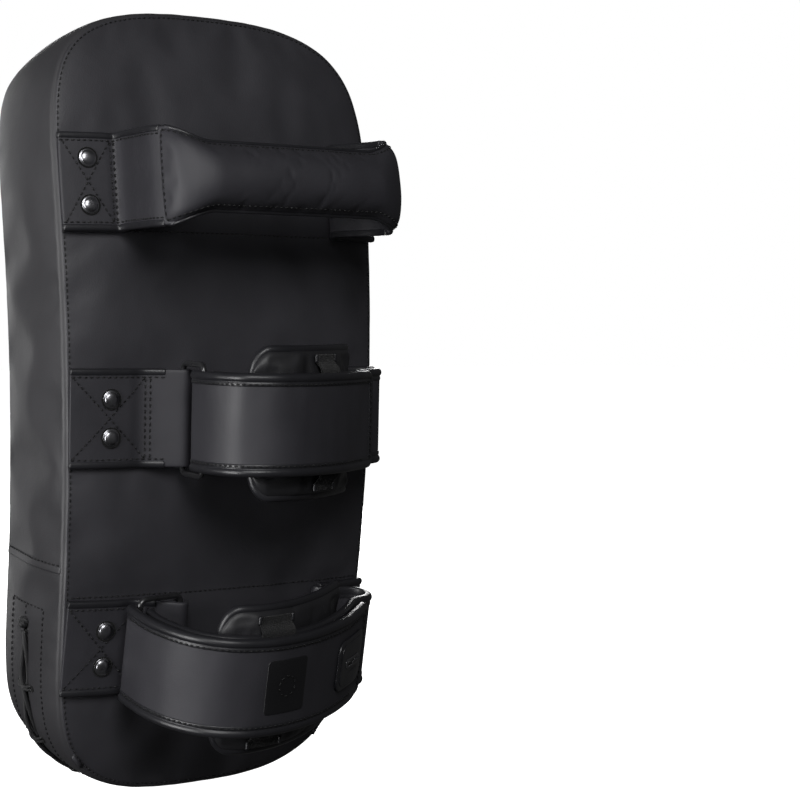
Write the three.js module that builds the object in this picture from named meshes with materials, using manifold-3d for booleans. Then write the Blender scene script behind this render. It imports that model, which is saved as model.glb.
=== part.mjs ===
// A kick shield: a bent foam pad in a sewn leather cover, held on the forearm by two hook-and-loop
// straps and gripped by a padded handle. Millimetres, +Z up along the forearm. The straps are on the
// -Y side and the strike face is on the +Y side. The origin is on the forearm's axis, inside the
// middle strap.
import * as THREE from "three";
import { mergeVertices } from "three/addons/utils/BufferGeometryUtils.js";
import Module from "manifold-3d";

const wasm = await Module();
wasm.setup();

// ---- Driving dimensions ----

const PAD_LENGTH = 400; // along the bent centre line
const PAD_WIDTH = 190; // halfway up
const PAD_DEPTH = 60; // from seam to seam
const BEND_RADIUS = 820; // of the centre line; the strike face is hollow
const END_POWER = 9; // how square the sides are
const SIDE_POWER = 2.7; // how round the ends are
const TAPER = 0.045; // the top is wider than the middle by this share, the bottom narrower
const CROWN = 6; // how far each face swells past its seam
const WALL_SWELL = 2.5; // how far the side wall swells past its seams
const SKIN = 2; // leather with its backing
const GAP = 0.3; // between touching pieces
const WALL_SEAM = -80; // where the upper and the lower wall meet, from the pad's middle
const SLOT_TOP = -112; // the laced slot runs from here round the bottom end to the other side
const SLOT_WIDTH = 5;
const PLACKET_OVERLAP = 0.008; // how far the placket runs past the slot, as a share of the seam line
const PLACKET_SINK = 0.9; // how far the placket lies under the wall
const BOARD_DEPTH = 14; // the stiff back board starts this far behind the middle of the pad
const SOFT_DEPTH = 12; // the soft strike foam starts this far in front of it
const CORE_INSET = 2.8; // the foam's edge, in from the seam line
const GLUE = 0.9; // between the layers of foam, and between them and the panels

const STRAP = 3.2; // thickness of a strap
const STRAP_HEIGHT = 50;
const STRAP_STEPS = 34; // how many flat pieces stand for the bend of each strap
const FLAP_STEPS = 24;
const FOLD_STEPS = 6;
const TAB_STEPS = 12;
const TAPE_GAP = 0.5; // between a tape and the strap it is sewn to
const PATCH_GAP = 0.7; // between the back panel and a strap sewn on it
const CLOSE_GAP = 3; // between a strap and its flap, where the hook and the loop tape meet
const TAPE = 0.8;
const TAPE_MARGIN = 5; // from a tape to the strap's edges
const TAPE_STEPS = 8;
const LINER = 9; // thickness of the forearm cushion
const LINER_HEIGHT = 78;
const LINER_CORNER = 16;
const LINER_STEPS = 20;
const KEEPER_HALF = 35; // half the height of the band that holds a cushion to its strap
const KEEPER_CLEAR = 4; // how far beyond the strap's edges it steps down to the cushion
const KEEPER_STEPS = [4, 10];

const WIRE = 3; // thickness of a ring's wire
const RING_PITCH = 26; // between a ring's two long bars
const RING_HEIGHT = STRAP_HEIGHT + 3.2; // inside
const TURN = 4.4; // radius of the strap's middle where it turns round a bar
const RING_CORNER = 3.5; // inside
const EYE = WIRE / 2 + 0.8; // inside radius of a tab's eye
const EYE_WALL = 2.2;
const EYE_SIDES = 14;

const RIVET_RADIUS = 4.7;
const RIVET_DOME = [2.7, 1.9]; // height in its middle and at its shoulder
const RIVET_SHOULDER = 3.2; // radius
const RIVET_HOLE = 2.4;
const RIVET_SHANK = 2;
const RIVET_CAP = 1.2;
const RIVET_SLACK = 1.2; // between a rivet's inner cap and the curved leather it holds
const RIVET_SIDES = 8;
const DRILL_LENGTH = 40;
const POCKET_LENGTH = 12;

const LACE = 2.2; // thickness of the lace
const LACE_PITCH = 31; // between the places where its two strands cross
const LACE_SPREAD = 2.6; // how far each strand swings to the side
const LACE_LIFT = 0.5; // how far its strands clear the wall
const LACE_STEPS = 50;
const KNOT = 3.4; // radius of an end knot
const KNOT_CLEAR = 1.2; // from a knot to the strands

const ARM_DEPTH = 72; // from the pad's middle to the forearm's axis

// Heights on the back panel, from the pad's middle, measured along the bend.
const HANDLE_AT = 109;
const MIDDLE_AT = -5;
const LOWER_AT = -118;

const HALF_LENGTH = PAD_LENGTH / 2;
const HALF_WIDTH = PAD_WIDTH / 2;
const HALF_DEPTH = PAD_DEPTH / 2;

// Each strap in its own frame: across the pad, then out from the back seam's plane.
const MIDDLE = {
  eye: [-35, 14.5],
  bar: [-39, 40.2],
  touch: [[-41.5, 54], [-38, 70], [-25, 79], [-4, 80], [20, 72], [44, 57], [62, 42]],
  liner: [0.16, 0.9],
  keeper: [0.5, 0.64],
  tape: [0.68, 0.88],
  end: 0.93,
  rivets: [-73, 9.7],
};
const LOWER = {
  eye: [-33, 15.5],
  bar: [-59, 19],
  touch: [[-61.5, 33], [-60, 54], [-49, 73.5], [-30, 82], [-4, 80], [24, 69], [48, 53], [64, 39]],
  liner: [0.26, 0.9],
  keeper: [0.4, 0.53],
  tape: [0.62, 0.96],
  end: 1,
  rivets: [-70.8, 9.5],
};
// Beyond the flap's end a strap doubles back under itself, and then lies on the back panel.
const STRAP_ROOT = [[74, 33], [79, 25], [76, 18.2], [68, 15.8], [60, 14.6], [55, 11.2]];
const STRAP_PATCH = [59, 68, 80];
const STRAP_START = [TURN + 0.3, 1.8]; // a strap's free end, beside and beyond its bar
const TAB_PATCH = [-80, -64, -52, -46];
const SEAM_CLEAR = 3; // from the end of a patch to the seam

const GRIP_HALF = 69; // half the padded grip's length
const GRIP_OUT = 62; // from the seam's plane to the middle of the grip at its ends
const GRIP_ARCH = 6; // how much further out it is halfway
const GRIP_END = [24, 5.2]; // half height and half depth where the cover is sewn flat
const GRIP_MIDDLE = [17, 13];
const GRIP_SPAN = 0.26; // the grip runs from this share of the handle's line to the same from its end
const DROOP = 0.13; // how far the handle sags for each step outwards
const DROOP_FROM = 14; // from this far out
const GRIP_SKIN = 1.8;
const GRIP_STEPS = 18;
const GRIP_SIDES = 12;
const GRIP_SOCKET = 0.01; // how far the grip's bore runs past its ends, as a share of the handle
const FOAM_END = 0.06; // how far the grip's foam stops short of them
const FOAM_STEPS = 14;
const HANDLE_PATCH = [-84, -72, -66.5]; // across the handle's left patch
const HANDLE_BEND = [[-64.5, 12], [-66.5, 30]]; // where it leaves the panel
const CORE_HEIGHTS = [25, 14, 12]; // half the strap's height: flat, at the grip's ends, inside the grip
const HANDLE_STEPS = 48;
const HANDLE_RIVETS = [-82, 12];

const BADGE_SPAN = [0.75, 0.965]; // shares of the lower flap
const BADGE_HALF = 14;
const BADGE = 1.8;
const BADGE_STEPS = 10;

const FACE_SHARES = [0, 0.35, 0.66, 0.88, 1]; // where a face is drawn, from its middle to its seam
const RIM_STEPS = 36;
const WALL_STEPS = [28, 24]; // round the upper wall and round the lower one
const WALL_ROWS = 4;
const SLOT_STEPS = 20;
const PLACKET = [22, 2, 1]; // its steps, its rows and its thickness
const PARALLEL_POINTS = 15;
const SLOPE_PLACE = 0.75; // where a strap takes its tilt from the panel, as a share of half its width

// ---- Materials ----

const leather = new THREE.MeshStandardMaterial({ color: 0x26262a, roughness: 0.55 });
const wallLeather = new THREE.MeshStandardMaterial({ color: 0x303033, roughness: 0.6 });
const strapLeather = new THREE.MeshStandardMaterial({ color: 0x222226, roughness: 0.5 });
const softFoam = new THREE.MeshStandardMaterial({ color: 0x55555a, roughness: 0.95 });
const denseFoam = new THREE.MeshStandardMaterial({ color: 0x3c3c40, roughness: 0.95 });
const board = new THREE.MeshStandardMaterial({ color: 0x2a2a2d, roughness: 0.9 });
const lining = new THREE.MeshStandardMaterial({ color: 0x1a1a1c, roughness: 0.8 });
const tapeCloth = new THREE.MeshStandardMaterial({ color: 0x141416, roughness: 1 });
const cord = new THREE.MeshStandardMaterial({ color: 0x222224, roughness: 0.85 });
const gunmetal = new THREE.MeshStandardMaterial({ color: 0x4a4a4e, roughness: 0.25, metalness: 1 });
const blackWire = new THREE.MeshStandardMaterial({ color: 0x17171a, roughness: 0.3, metalness: 0.6 });
const rubber = new THREE.MeshStandardMaterial({ color: 0x1b1b1e, roughness: 0.35 });

// ---- The pad's shape ----

// The seam line laid flat: x is across the pad and y is along it. It starts at the top and runs down
// the left side, so that a share of its length and one minus that share face each other.
class SeamLine extends THREE.Curve {
  constructor(inset = 0) {
    super();
    this.inset = inset;
    this.arcLengthDivisions = 1200;
  }
  getPoint(t, target = new THREE.Vector3()) {
    const along = Math.cos(2 * Math.PI * t);
    const across = Math.pow(1 - Math.pow(Math.abs(along), END_POWER), 1 / SIDE_POWER);
    const side = -Math.sign(Math.sin(2 * Math.PI * t));
    return target.set(
      (HALF_WIDTH - this.inset) * side * across * (1 + TAPER * along),
      (HALF_LENGTH - this.inset) * along,
      0,
    );
  }
}
const seamLine = new SeamLine();
const foamLine = new SeamLine(CORE_INSET);

// A place in the pad: across it, along its bent middle, and behind that middle.
function bend(across, along, behind) {
  const angle = along / BEND_RADIUS;
  const radius = BEND_RADIUS + behind;
  return [across, BEND_RADIUS - radius * Math.cos(angle), radius * Math.sin(angle)];
}

const swell = (share) => CROWN * (1 - share ** 4);

// How far the back panel stands out from its seam's plane at a place.
function backSwell(across, along) {
  const flat = Math.abs(across) / (1 + (TAPER * along) / HALF_LENGTH) / HALF_WIDTH;
  let low = 0;
  let high = 1;
  for (let i = 0; i < 30; i++) {
    const share = (low + high) / 2;
    const reach =
      (Math.abs(along) / HALF_LENGTH / share) ** END_POWER + (flat / share) ** SIDE_POWER;
    if (reach > 1) low = share;
    else high = share;
  }
  return swell(high);
}

// Half the pad's width at a height.
function halfWidthAt(along) {
  const share = Math.abs(along) / HALF_LENGTH;
  const across = Math.pow(1 - share ** END_POWER, 1 / SIDE_POWER);
  return HALF_WIDTH * across * (1 + (TAPER * along) / HALF_LENGTH);
}

// ---- Making closed geometry ----

// Moves each vertex of a closed geometry with place(x, y, z), and turns the faces out.
function shaped(geometry, place) {
  const position = geometry.attributes.position;
  for (let i = 0; i < position.count; i++) {
    position.setXYZ(i, ...place(position.getX(i), position.getY(i), position.getZ(i)));
  }
  return facingOut(geometry);
}

function facingOut(geometry) {
  const index = geometry.index.array;
  const corner = (k) => new THREE.Vector3().fromBufferAttribute(geometry.attributes.position, index[k]);
  let volume = 0;
  for (let k = 0; k < index.length; k += 3) {
    volume += corner(k).dot(corner(k + 1).cross(corner(k + 2)));
  }
  if (volume < 0) {
    for (let k = 0; k < index.length; k += 3) [index[k], index[k + 1]] = [index[k + 1], index[k]];
  }
  geometry.computeVertexNormals();
  return geometry;
}

function toSolid(geometry) {
  const bare = geometry.clone();
  for (const name of Object.keys(bare.attributes)) if (name !== "position") bare.deleteAttribute(name);
  const merged = mergeVertices(bare, 1e-3);
  return new wasm.Manifold(
    new wasm.Mesh({
      numProp: 3,
      vertProperties: new Float32Array(merged.attributes.position.array),
      triVerts: new Uint32Array(merged.index.array),
    }),
  );
}

function fromSolid(solid) {
  const mesh = solid.getMesh();
  const geometry = new THREE.BufferGeometry();
  geometry.setAttribute("position", new THREE.BufferAttribute(mesh.vertProperties, 3));
  geometry.setIndex(new THREE.BufferAttribute(mesh.triVerts, 1));
  geometry.computeVertexNormals();
  return geometry;
}

function cut(geometry, cutters) {
  const left = cutters.reduce((solid, cutter) => solid.subtract(toSolid(cutter)), toSolid(geometry));
  return fromSolid(left);
}

function named(name, geometry, material) {
  const mesh = new THREE.Mesh(geometry, material);
  mesh.name = name;
  return mesh;
}

// ---- Panels, walls and foam ----

// A closed slab over the whole face: near and far give its two surfaces for a share of the way out.
function slab(line, shares, segments, near, far) {
  const rim = [...Array(segments + 1).keys()].map((k) => line.getPointAt(k / segments));
  const profile = [
    ...shares.map((share) => new THREE.Vector2(share, 1)),
    ...[...shares].reverse().map((share) => new THREE.Vector2(share, 0)),
  ];
  return shaped(new THREE.LatheGeometry(profile, segments), (x, y, z) => {
    const share = Math.hypot(x, z);
    const turn = Math.round((Math.atan2(x, z) / (2 * Math.PI)) * segments);
    const edge = rim[(turn + segments) % segments];
    return bend(edge.x * share, edge.y * share, y > 0.5 ? far(share) : near(share));
  });
}

// A strip of the side wall from one place on the seam line to another.
function wallStrip(from, to, steps, rows, low, high, outer, inner) {
  return shaped(new THREE.BoxGeometry(1, 1, 1, steps, rows, 1), (x, y, z) => {
    const t = (from + (x + 0.5) * (to - from) + 1) % 1;
    const edge = seamLine.getPointAt(t);
    const tangent = seamLine.getTangentAt(t);
    const behind = low + (y + 0.5) * (high - low);
    const lift = WALL_SWELL * (1 - (behind / HALF_DEPTH) ** 2) + (z > 0 ? outer : inner);
    return bend(edge.x + tangent.y * lift, edge.y - tangent.x * lift, behind);
  });
}

// The share of the seam line's length, down the left side, that ends at a height.
function shareAt(along) {
  let low = 0;
  let high = 0.5;
  for (let i = 0; i < 30; i++) {
    const middle = (low + high) / 2;
    if (seamLine.getPointAt(middle).y > along) low = middle;
    else high = middle;
  }
  return high;
}
const wallShare = shareAt(WALL_SEAM);
const slotShare = shareAt(SLOT_TOP);
const slotLength = (1 - 2 * slotShare) * seamLine.getLength();

function padShell(rivetHoles) {
  const wallEdge = HALF_DEPTH - SKIN - GAP;
  const seamGap = GAP / 2 / seamLine.getLength();
  const strikePanel = slab(
    seamLine, FACE_SHARES, RIM_STEPS,
    (share) => -HALF_DEPTH - swell(share),
    (share) => -HALF_DEPTH - swell(share) + SKIN,
  );
  const backPanel = slab(
    seamLine, FACE_SHARES, RIM_STEPS,
    (share) => HALF_DEPTH + swell(share) - SKIN,
    (share) => HALF_DEPTH + swell(share),
  );
  const [upperSteps, lowerSteps] = WALL_STEPS;
  const upper = wallStrip(
    1 - wallShare + seamGap, 1 + wallShare - seamGap, upperSteps, WALL_ROWS, -wallEdge, wallEdge, 0, -SKIN,
  );
  const lower = wallStrip(
    wallShare + seamGap, 1 - wallShare - seamGap, lowerSteps, WALL_ROWS, -wallEdge, wallEdge, 0, -SKIN,
  );
  const slot = wallStrip(
    slotShare, 1 - slotShare, SLOT_STEPS, 1, -SLOT_WIDTH / 2, SLOT_WIDTH / 2, SKIN, -2 * SKIN,
  );
  const [placketSteps, placketRows, thickness] = PLACKET;
  const top = -SKIN - PLACKET_SINK;
  const placket = wallStrip(
    slotShare - PLACKET_OVERLAP, 1 - slotShare + PLACKET_OVERLAP, placketSteps, placketRows,
    -wallEdge / 2, wallEdge / 2, top, top - thickness,
  );
  return [
    named("strike_panel", strikePanel, leather),
    named("back_panel", cut(backPanel, rivetHoles), leather),
    named("upper_wall", upper, wallLeather),
    named("lower_wall", cut(lower, [slot]), wallLeather),
    named("slot_placket", placket, lining),
  ];
}

function foamCore(rivetPockets) {
  const face = (share) => HALF_DEPTH + swell(share) - SKIN - GLUE;
  const strikeFoam = slab(
    foamLine, FACE_SHARES, RIM_STEPS,
    (share) => -face(share),
    () => -SOFT_DEPTH - GLUE / 2,
  );
  const coreFoam = slab(
    foamLine, FACE_SHARES, RIM_STEPS,
    () => -SOFT_DEPTH + GLUE / 2,
    () => BOARD_DEPTH - GLUE / 2,
  );
  const backBoard = slab(foamLine, FACE_SHARES, RIM_STEPS, () => BOARD_DEPTH + GLUE / 2, face);
  return [
    named("strike_foam", strikeFoam, softFoam),
    named("core_foam", coreFoam, denseFoam),
    named("back_board", cut(backBoard, rivetPockets), board),
  ];
}

// ---- Lacing ----

// One strand of the lace, swinging from side to side over the slot and passing over or under the other.
class LaceStrand extends THREE.Curve {
  constructor(side) {
    super();
    this.side = side;
  }
  getPoint(t, target = new THREE.Vector3()) {
    const ends = (KNOT + KNOT_CLEAR) / seamLine.getLength();
    const from = slotShare + ends;
    const share = from + t * (1 - 2 * from);
    const edge = seamLine.getPointAt(share);
    const tangent = seamLine.getTangentAt(share);
    const crossings = Math.round(slotLength / LACE_PITCH);
    const phase = Math.PI * crossings * t;
    const behind = this.side * LACE_SPREAD * Math.sin(phase);
    const over = (this.side * Math.cos(phase) * (LACE + GAP)) / 2;
    const lift = WALL_SWELL + LACE + LACE_LIFT + over;
    return target.set(...bend(edge.x + tangent.y * lift, edge.y - tangent.x * lift, behind));
  }
}

function lacing() {
  const section = new THREE.Shape().absarc(0, 0, LACE / 2, 0, 2 * Math.PI);
  const strand = (side) =>
    new THREE.ExtrudeGeometry(section, {
      steps: LACE_STEPS, curveSegments: 3, bevelEnabled: false, extrudePath: new LaceStrand(side),
    });
  const knot = (share) => {
    const edge = seamLine.getPointAt(share);
    const tangent = seamLine.getTangentAt(share);
    const lift = WALL_SWELL + KNOT + GAP;
    const place = bend(edge.x + tangent.y * lift, edge.y - tangent.x * lift, 0);
    return new THREE.SphereGeometry(KNOT, 8, 6).translate(...place);
  };
  return [
    named("lace_strand_1", strand(1), cord),
    named("lace_strand_2", strand(-1), cord),
    named("lace_knot_left", knot(slotShare), cord),
    named("lace_knot_right", knot(1 - slotShare), cord),
  ];
}

// ---- Straps ----

// A group whose -Y points straight out of the back panel at a height, with its XZ plane on the seams.
function backFrame(along) {
  const frame = new THREE.Group();
  const reach = STRAP_HEIGHT / 2;
  const side = SLOPE_PLACE * HALF_WIDTH;
  const slope = (backSwell(side, along - reach) - backSwell(side, along + reach)) / STRAP_HEIGHT;
  frame.position.set(...bend(0, along, HALF_DEPTH));
  frame.rotation.x = -(along / BEND_RADIUS + Math.atan(slope));
  frame.updateMatrix();
  return frame;
}

const smoothLine = (points) =>
  new THREE.CatmullRomCurve3(points.map(([x, out]) => new THREE.Vector3(x, out, 0)), false, "centripetal");

// The point of a plan line at a share of its length, moved outwards.
function beside(line, share, distance) {
  const point = line.getPointAt(share);
  const tangent = line.getTangentAt(share);
  return [point.x - tangent.y * distance, point.y + tangent.x * distance];
}

// A strip bent along a plan line, from one share of its length to another. inner and outer are its
// faces' distances outwards from the line, and may depend on the height.
function strip(line, from, to, steps, inner, outer, halfHeight, rows = 1) {
  const value = (f, ...at) => (typeof f === "function" ? f(...at) : f);
  return shaped(new THREE.BoxGeometry(1, 1, 1, steps, rows, 1), (x, y, z) => {
    const share = from + (x + 0.5) * (to - from);
    const height = 2 * y * value(halfHeight, share);
    const [across, out] = beside(line, share, value(z > 0 ? outer : inner, height));
    return [across, -out, height];
  });
}

// Points that follow the back panel under the middle of a strap.
const onPanel = (along, list) => list.map((x) => [x, backSwell(x, along) + PATCH_GAP + STRAP / 2]);

// The line of a strap's free end: its fold round the bar, then the flap, outside the line where the
// flap touches the strap.
function flapLine({ bar, touch }) {
  const arc = [0, 45, 90, 135, 180].map((degrees) => {
    const angle = THREE.MathUtils.degToRad(-degrees);
    return [bar[0] + TURN * Math.cos(angle), bar[1] + TURN * Math.sin(angle)];
  });
  return smoothLine([...arc, ...offset(touch, (CLOSE_GAP + STRAP) / 2)]);
}

// Points on a parallel of a smooth line.
function offset(points, distance) {
  const line = smoothLine(points);
  return [...Array(PARALLEL_POINTS).keys()].map((k) => beside(line, k / (PARALLEL_POINTS - 1), distance));
}

// The line of a strap: from beside its bar, inside its flap, to the patch at its fixed end.
function strapLine({ bar, touch }, along) {
  const edge = halfWidthAt(along) - SEAM_CLEAR;
  return smoothLine([
    [bar[0] + STRAP_START[0], bar[1] + STRAP_START[1]],
    ...offset(touch, -(CLOSE_GAP + STRAP) / 2),
    ...STRAP_ROOT,
    ...onPanel(along, [...STRAP_PATCH, edge]),
  ]);
}

// A rivet's place on a patch: its frame's matrix, with +Y out of the patch.
function rivetMatrix(frame, along, x, z) {
  const slope = (backSwell(x + 1, along) - backSwell(x - 1, along)) / 2;
  const surface = backSwell(x, along) + PATCH_GAP + STRAP;
  const local = new THREE.Matrix4().makeRotationZ(Math.PI - Math.atan(slope));
  local.setPosition(x, -surface, z);
  return frame.matrix.clone().multiply(local);
}

function rivet(name, matrix) {
  const depth = STRAP + PATCH_GAP + SKIN + RIVET_SLACK;
  const [crown, shoulder] = RIVET_DOME;
  const outline = [
    [0, crown], [RIVET_SHOULDER, shoulder], [RIVET_RADIUS, GAP], [RIVET_SHANK, GAP], [RIVET_SHANK, -depth],
    [RIVET_RADIUS, -depth], [RIVET_RADIUS, -depth - RIVET_CAP], [0, -depth - RIVET_CAP],
  ];
  const profile = outline.map(([x, y]) => new THREE.Vector2(x, y));
  const mesh = named(name, facingOut(new THREE.LatheGeometry(profile, RIVET_SIDES)), gunmetal);
  mesh.applyMatrix4(matrix);
  return mesh;
}

function rivetCutters(matrices) {
  const drill = (radius, length) => new THREE.CylinderGeometry(radius, radius, length, RIVET_SIDES);
  const depth = STRAP + PATCH_GAP + SKIN + RIVET_SLACK + RIVET_CAP;
  const top = POCKET_LENGTH / 2 - depth - GAP;
  const hole = matrices.map((m) => drill(RIVET_HOLE, DRILL_LENGTH).applyMatrix4(m));
  const pocket = matrices.map((m) =>
    drill(RIVET_RADIUS + GAP, POCKET_LENGTH).translate(0, top, 0).applyMatrix4(m),
  );
  return { hole, pocket };
}

const inFrame = (frame, geometries) => {
  const inverse = frame.matrix.clone().invert();
  return geometries.map((geometry) => geometry.clone().applyMatrix4(inverse));
};

// A rectangular wire ring round two upright bars of a strap's frame.
function ring(name, from, to) {
  const outline = (grow) => {
    const [w, h] = [RING_PITCH / 2 + grow, RING_HEIGHT / 2 + WIRE / 2 + grow];
    const r = RING_CORNER + grow;
    return new THREE.Path()
      .moveTo(w, -h + r).lineTo(w, h - r).absarc(w - r, h - r, r, 0, Math.PI / 2)
      .lineTo(-w + r, h).absarc(-w + r, h - r, r, Math.PI / 2, Math.PI)
      .lineTo(-w, -h + r).absarc(-w + r, -h + r, r, Math.PI, 1.5 * Math.PI)
      .lineTo(w - r, -h).absarc(w - r, -h + r, r, 1.5 * Math.PI, 2 * Math.PI);
  };
  const bevel = WIRE * 0.29;
  const shape = new THREE.Shape(outline(WIRE / 2 - bevel).getPoints(2));
  shape.holes.push(new THREE.Path(outline(bevel - WIRE / 2).getPoints(2)));
  const wire = new THREE.ExtrudeGeometry(shape, {
    depth: WIRE - 2 * bevel, bevelThickness: bevel, bevelSize: bevel, bevelSegments: 1, curveSegments: 2,
  }).translate(0, 0, bevel - WIRE / 2);
  const mesh = named(name, wire, blackWire);
  const reach = new THREE.Vector3(to[0] - from[0], from[1] - to[1], 0).normalize();
  const up = new THREE.Vector3(0, 0, 1);
  mesh.applyMatrix4(new THREE.Matrix4().makeBasis(reach, up, reach.clone().cross(up)));
  mesh.position.set((from[0] + to[0]) / 2, -(from[1] + to[1]) / 2, 0);
  return mesh;
}

// A tab sewn flat on the panel from the seam inwards, with an eye for its ring's inner bar.
function tab(name, { eye }, along, frame, holes) {
  const edge = SEAM_CLEAR - halfWidthAt(along);
  const line = smoothLine([...onPanel(along, [edge, ...TAB_PATCH]), eye]);
  const upright = (radius, height) =>
    new THREE.CylinderGeometry(radius, radius, height, EYE_SIDES)
      .rotateX(Math.PI / 2)
      .translate(eye[0], -eye[1], 0);
  const flat = strip(line, 0, 1, TAB_STEPS, -STRAP / 2, STRAP / 2, STRAP_HEIGHT / 2);
  const looped = toSolid(flat).add(toSolid(upright(EYE + EYE_WALL, STRAP_HEIGHT)));
  const open = looped.subtract(toSolid(upright(EYE, 2 * STRAP_HEIGHT)));
  return named(name, cut(fromSolid(open), inFrame(frame, holes)), strapLeather);
}

// The height of the forearm cushion, round at its first end and square at its other.
const linerHalfHeight = (line, from) => (share) => {
  const end = (share - from) * line.getLength();
  const inside = Math.max(0, LINER_CORNER - end);
  return LINER_HEIGHT / 2 - LINER_CORNER + Math.sqrt(LINER_CORNER ** 2 - inside ** 2);
};

// A pair of rivets on each patch: their matrices, and the tools that cut their holes.
function rivetSet(prefix, frame, along, [x, z]) {
  const places = [[x, z], [x, -z], [-x, z], [-x, -z]];
  const matrices = places.map((place) => rivetMatrix(frame, along, ...place));
  return {
    frame,
    ...rivetCutters(matrices),
    rivets: matrices.map((matrix, k) => rivet(`${prefix}_rivet_${k + 1}`, matrix)),
  };
}

function strapSet(prefix, plan, along) {
  const frame = backFrame(along);
  const set = rivetSet(prefix, frame, along, plan.rivets);
  const touch = smoothLine(plan.touch);
  const strap = strapLine(plan, along);
  const flap = flapLine(plan);
  const foldEnd = (Math.PI * TURN) / flap.getLength();
  const flapStart = foldEnd + GAP / flap.getLength();
  const face = CLOSE_GAP / 2;
  const linerFace = -face - STRAP - TAPE_GAP;
  const half = STRAP_HEIGHT / 2;
  const piece = (name, material, line, [from, to], steps, inner, outer, halfHeight, rows) =>
    named(`${prefix}_${name}`, strip(line, from, to, steps, inner, outer, halfHeight, rows), material);
  const leatherPiece = (name, line, span, steps) =>
    piece(name, strapLeather, line, span, steps, -STRAP / 2, STRAP / 2, half);
  const keeperReach = (away) => (height) =>
    (Math.abs(height) < half + KEEPER_CLEAR ? -face : linerFace) + TAPE_GAP + away;
  const strapPiece = leatherPiece("strap", strap, [0, 1], STRAP_STEPS);
  strapPiece.geometry = cut(strapPiece.geometry, inFrame(frame, set.hole.slice(2)));
  frame.add(
    tab(`${prefix}_tab`, plan, along, frame, set.hole.slice(0, 2)),
    ring(`${prefix}_ring`, plan.eye, plan.bar),
    strapPiece,
    leatherPiece("fold", flap, [0, foldEnd], FOLD_STEPS),
    leatherPiece("flap", flap, [flapStart, plan.end], FLAP_STEPS),
    piece("loop_tape", tapeCloth, touch, plan.tape, TAPE_STEPS,
      -face + TAPE_GAP, -face + TAPE_GAP + TAPE, half - TAPE_MARGIN),
    piece("hook_tape", tapeCloth, touch, plan.tape, TAPE_STEPS,
      face - TAPE_GAP - TAPE, face - TAPE_GAP, half - TAPE_MARGIN),
    piece("liner", lining, touch, plan.liner, LINER_STEPS,
      linerFace - LINER, linerFace, linerHalfHeight(touch, plan.liner[0])),
    piece("keeper", tapeCloth, touch, plan.keeper, KEEPER_STEPS[0],
      keeperReach(0), keeperReach(TAPE), KEEPER_HALF, KEEPER_STEPS[1]),
  );
  return set;
}

// A raised rubber badge near the end of the lower flap.
function badge(plan) {
  const line = flapLine(plan);
  const low = STRAP / 2 + GAP;
  const plate = strip(line, ...BADGE_SPAN, BADGE_STEPS, low, low + BADGE, BADGE_HALF);
  return named("lower_badge", plate, rubber);
}

// ---- Handle ----

function handleLine(along) {
  const edge = halfWidthAt(along) - SEAM_CLEAR;
  const left = [
    ...onPanel(along, [-edge, ...HANDLE_PATCH]),
    ...HANDLE_BEND,
    [-GRIP_HALF + 0.5, 50],
    [-GRIP_HALF + 7, GRIP_OUT + 1],
    [-GRIP_HALF / 2, GRIP_OUT + GRIP_ARCH * 0.8],
  ];
  const right = left.map(([x, out]) => [-x, out]).reverse();
  return smoothLine([...left, [0, GRIP_OUT + GRIP_ARCH], ...right]);
}

// The padded grip round the handle's strap: an oval tube, flat at its ends.
function gripTube(line, from, to, inset, steps) {
  const oval = (share) => {
    const across = Math.abs((2 * (share - 0.5)) / (0.5 - GRIP_SPAN)) / 2;
    const flatness = Math.min(1, across) ** 4;
    return GRIP_MIDDLE.map((value, k) => value + (GRIP_END[k] - value) * flatness - inset);
  };
  const ends = new THREE.CylinderGeometry(1, 1, 1, GRIP_SIDES, steps);
  return shaped(ends, (x, y, z) => {
    const share = from + (y + 0.5) * (to - from);
    const [tall, deep] = oval(share);
    const [across, out] = beside(line, share, z * deep);
    return [across, -out, x * tall];
  });
}

// A handle's own weight lets it sag away from straight out.
const drooping = (geometry) =>
  shaped(geometry, (x, y, z) => [x, y, z + DROOP * Math.min(0, y + DROOP_FROM)]);

function handle() {
  const frame = backFrame(HANDLE_AT);
  const line = handleLine(HANDLE_AT);
  const set = rivetSet("handle", frame, HANDLE_AT, HANDLE_RIVETS);
  const [flat, entering, inside] = CORE_HEIGHTS;
  const strap = strip(line, 0, 1, HANDLE_STEPS, -STRAP / 2, STRAP / 2, (share) => {
    const depth = (0.5 - Math.abs(share - 0.5) - GRIP_SPAN) * HANDLE_STEPS;
    if (depth < -1) return flat;
    return depth < 1 ? entering : inside;
  });
  const [from, to] = [GRIP_SPAN, 1 - GRIP_SPAN];
  const roomSteps = Math.round((to - from + 2 * FOAM_END) * HANDLE_STEPS);
  const room = strip(
    line, from - FOAM_END, to + FOAM_END, roomSteps, -STRAP / 2 - GAP, STRAP / 2 + GAP, inside + GAP,
  );
  const outer = gripTube(line, from, to, 0, GRIP_STEPS);
  const inner = gripTube(line, from - GRIP_SOCKET, to + GRIP_SOCKET, GRIP_SKIN, GRIP_STEPS);
  const stuffing = gripTube(line, from + FOAM_END, to - FOAM_END, GRIP_SKIN + GLUE, FOAM_STEPS);
  frame.add(
    named("handle_strap", drooping(cut(strap, inFrame(frame, set.hole))), strapLeather),
    named("grip_cover", drooping(cut(outer, [inner])), strapLeather),
    named("grip_foam", drooping(cut(stuffing, [room])), softFoam),
  );
  return set;
}

// ---- Assembly ----

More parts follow.
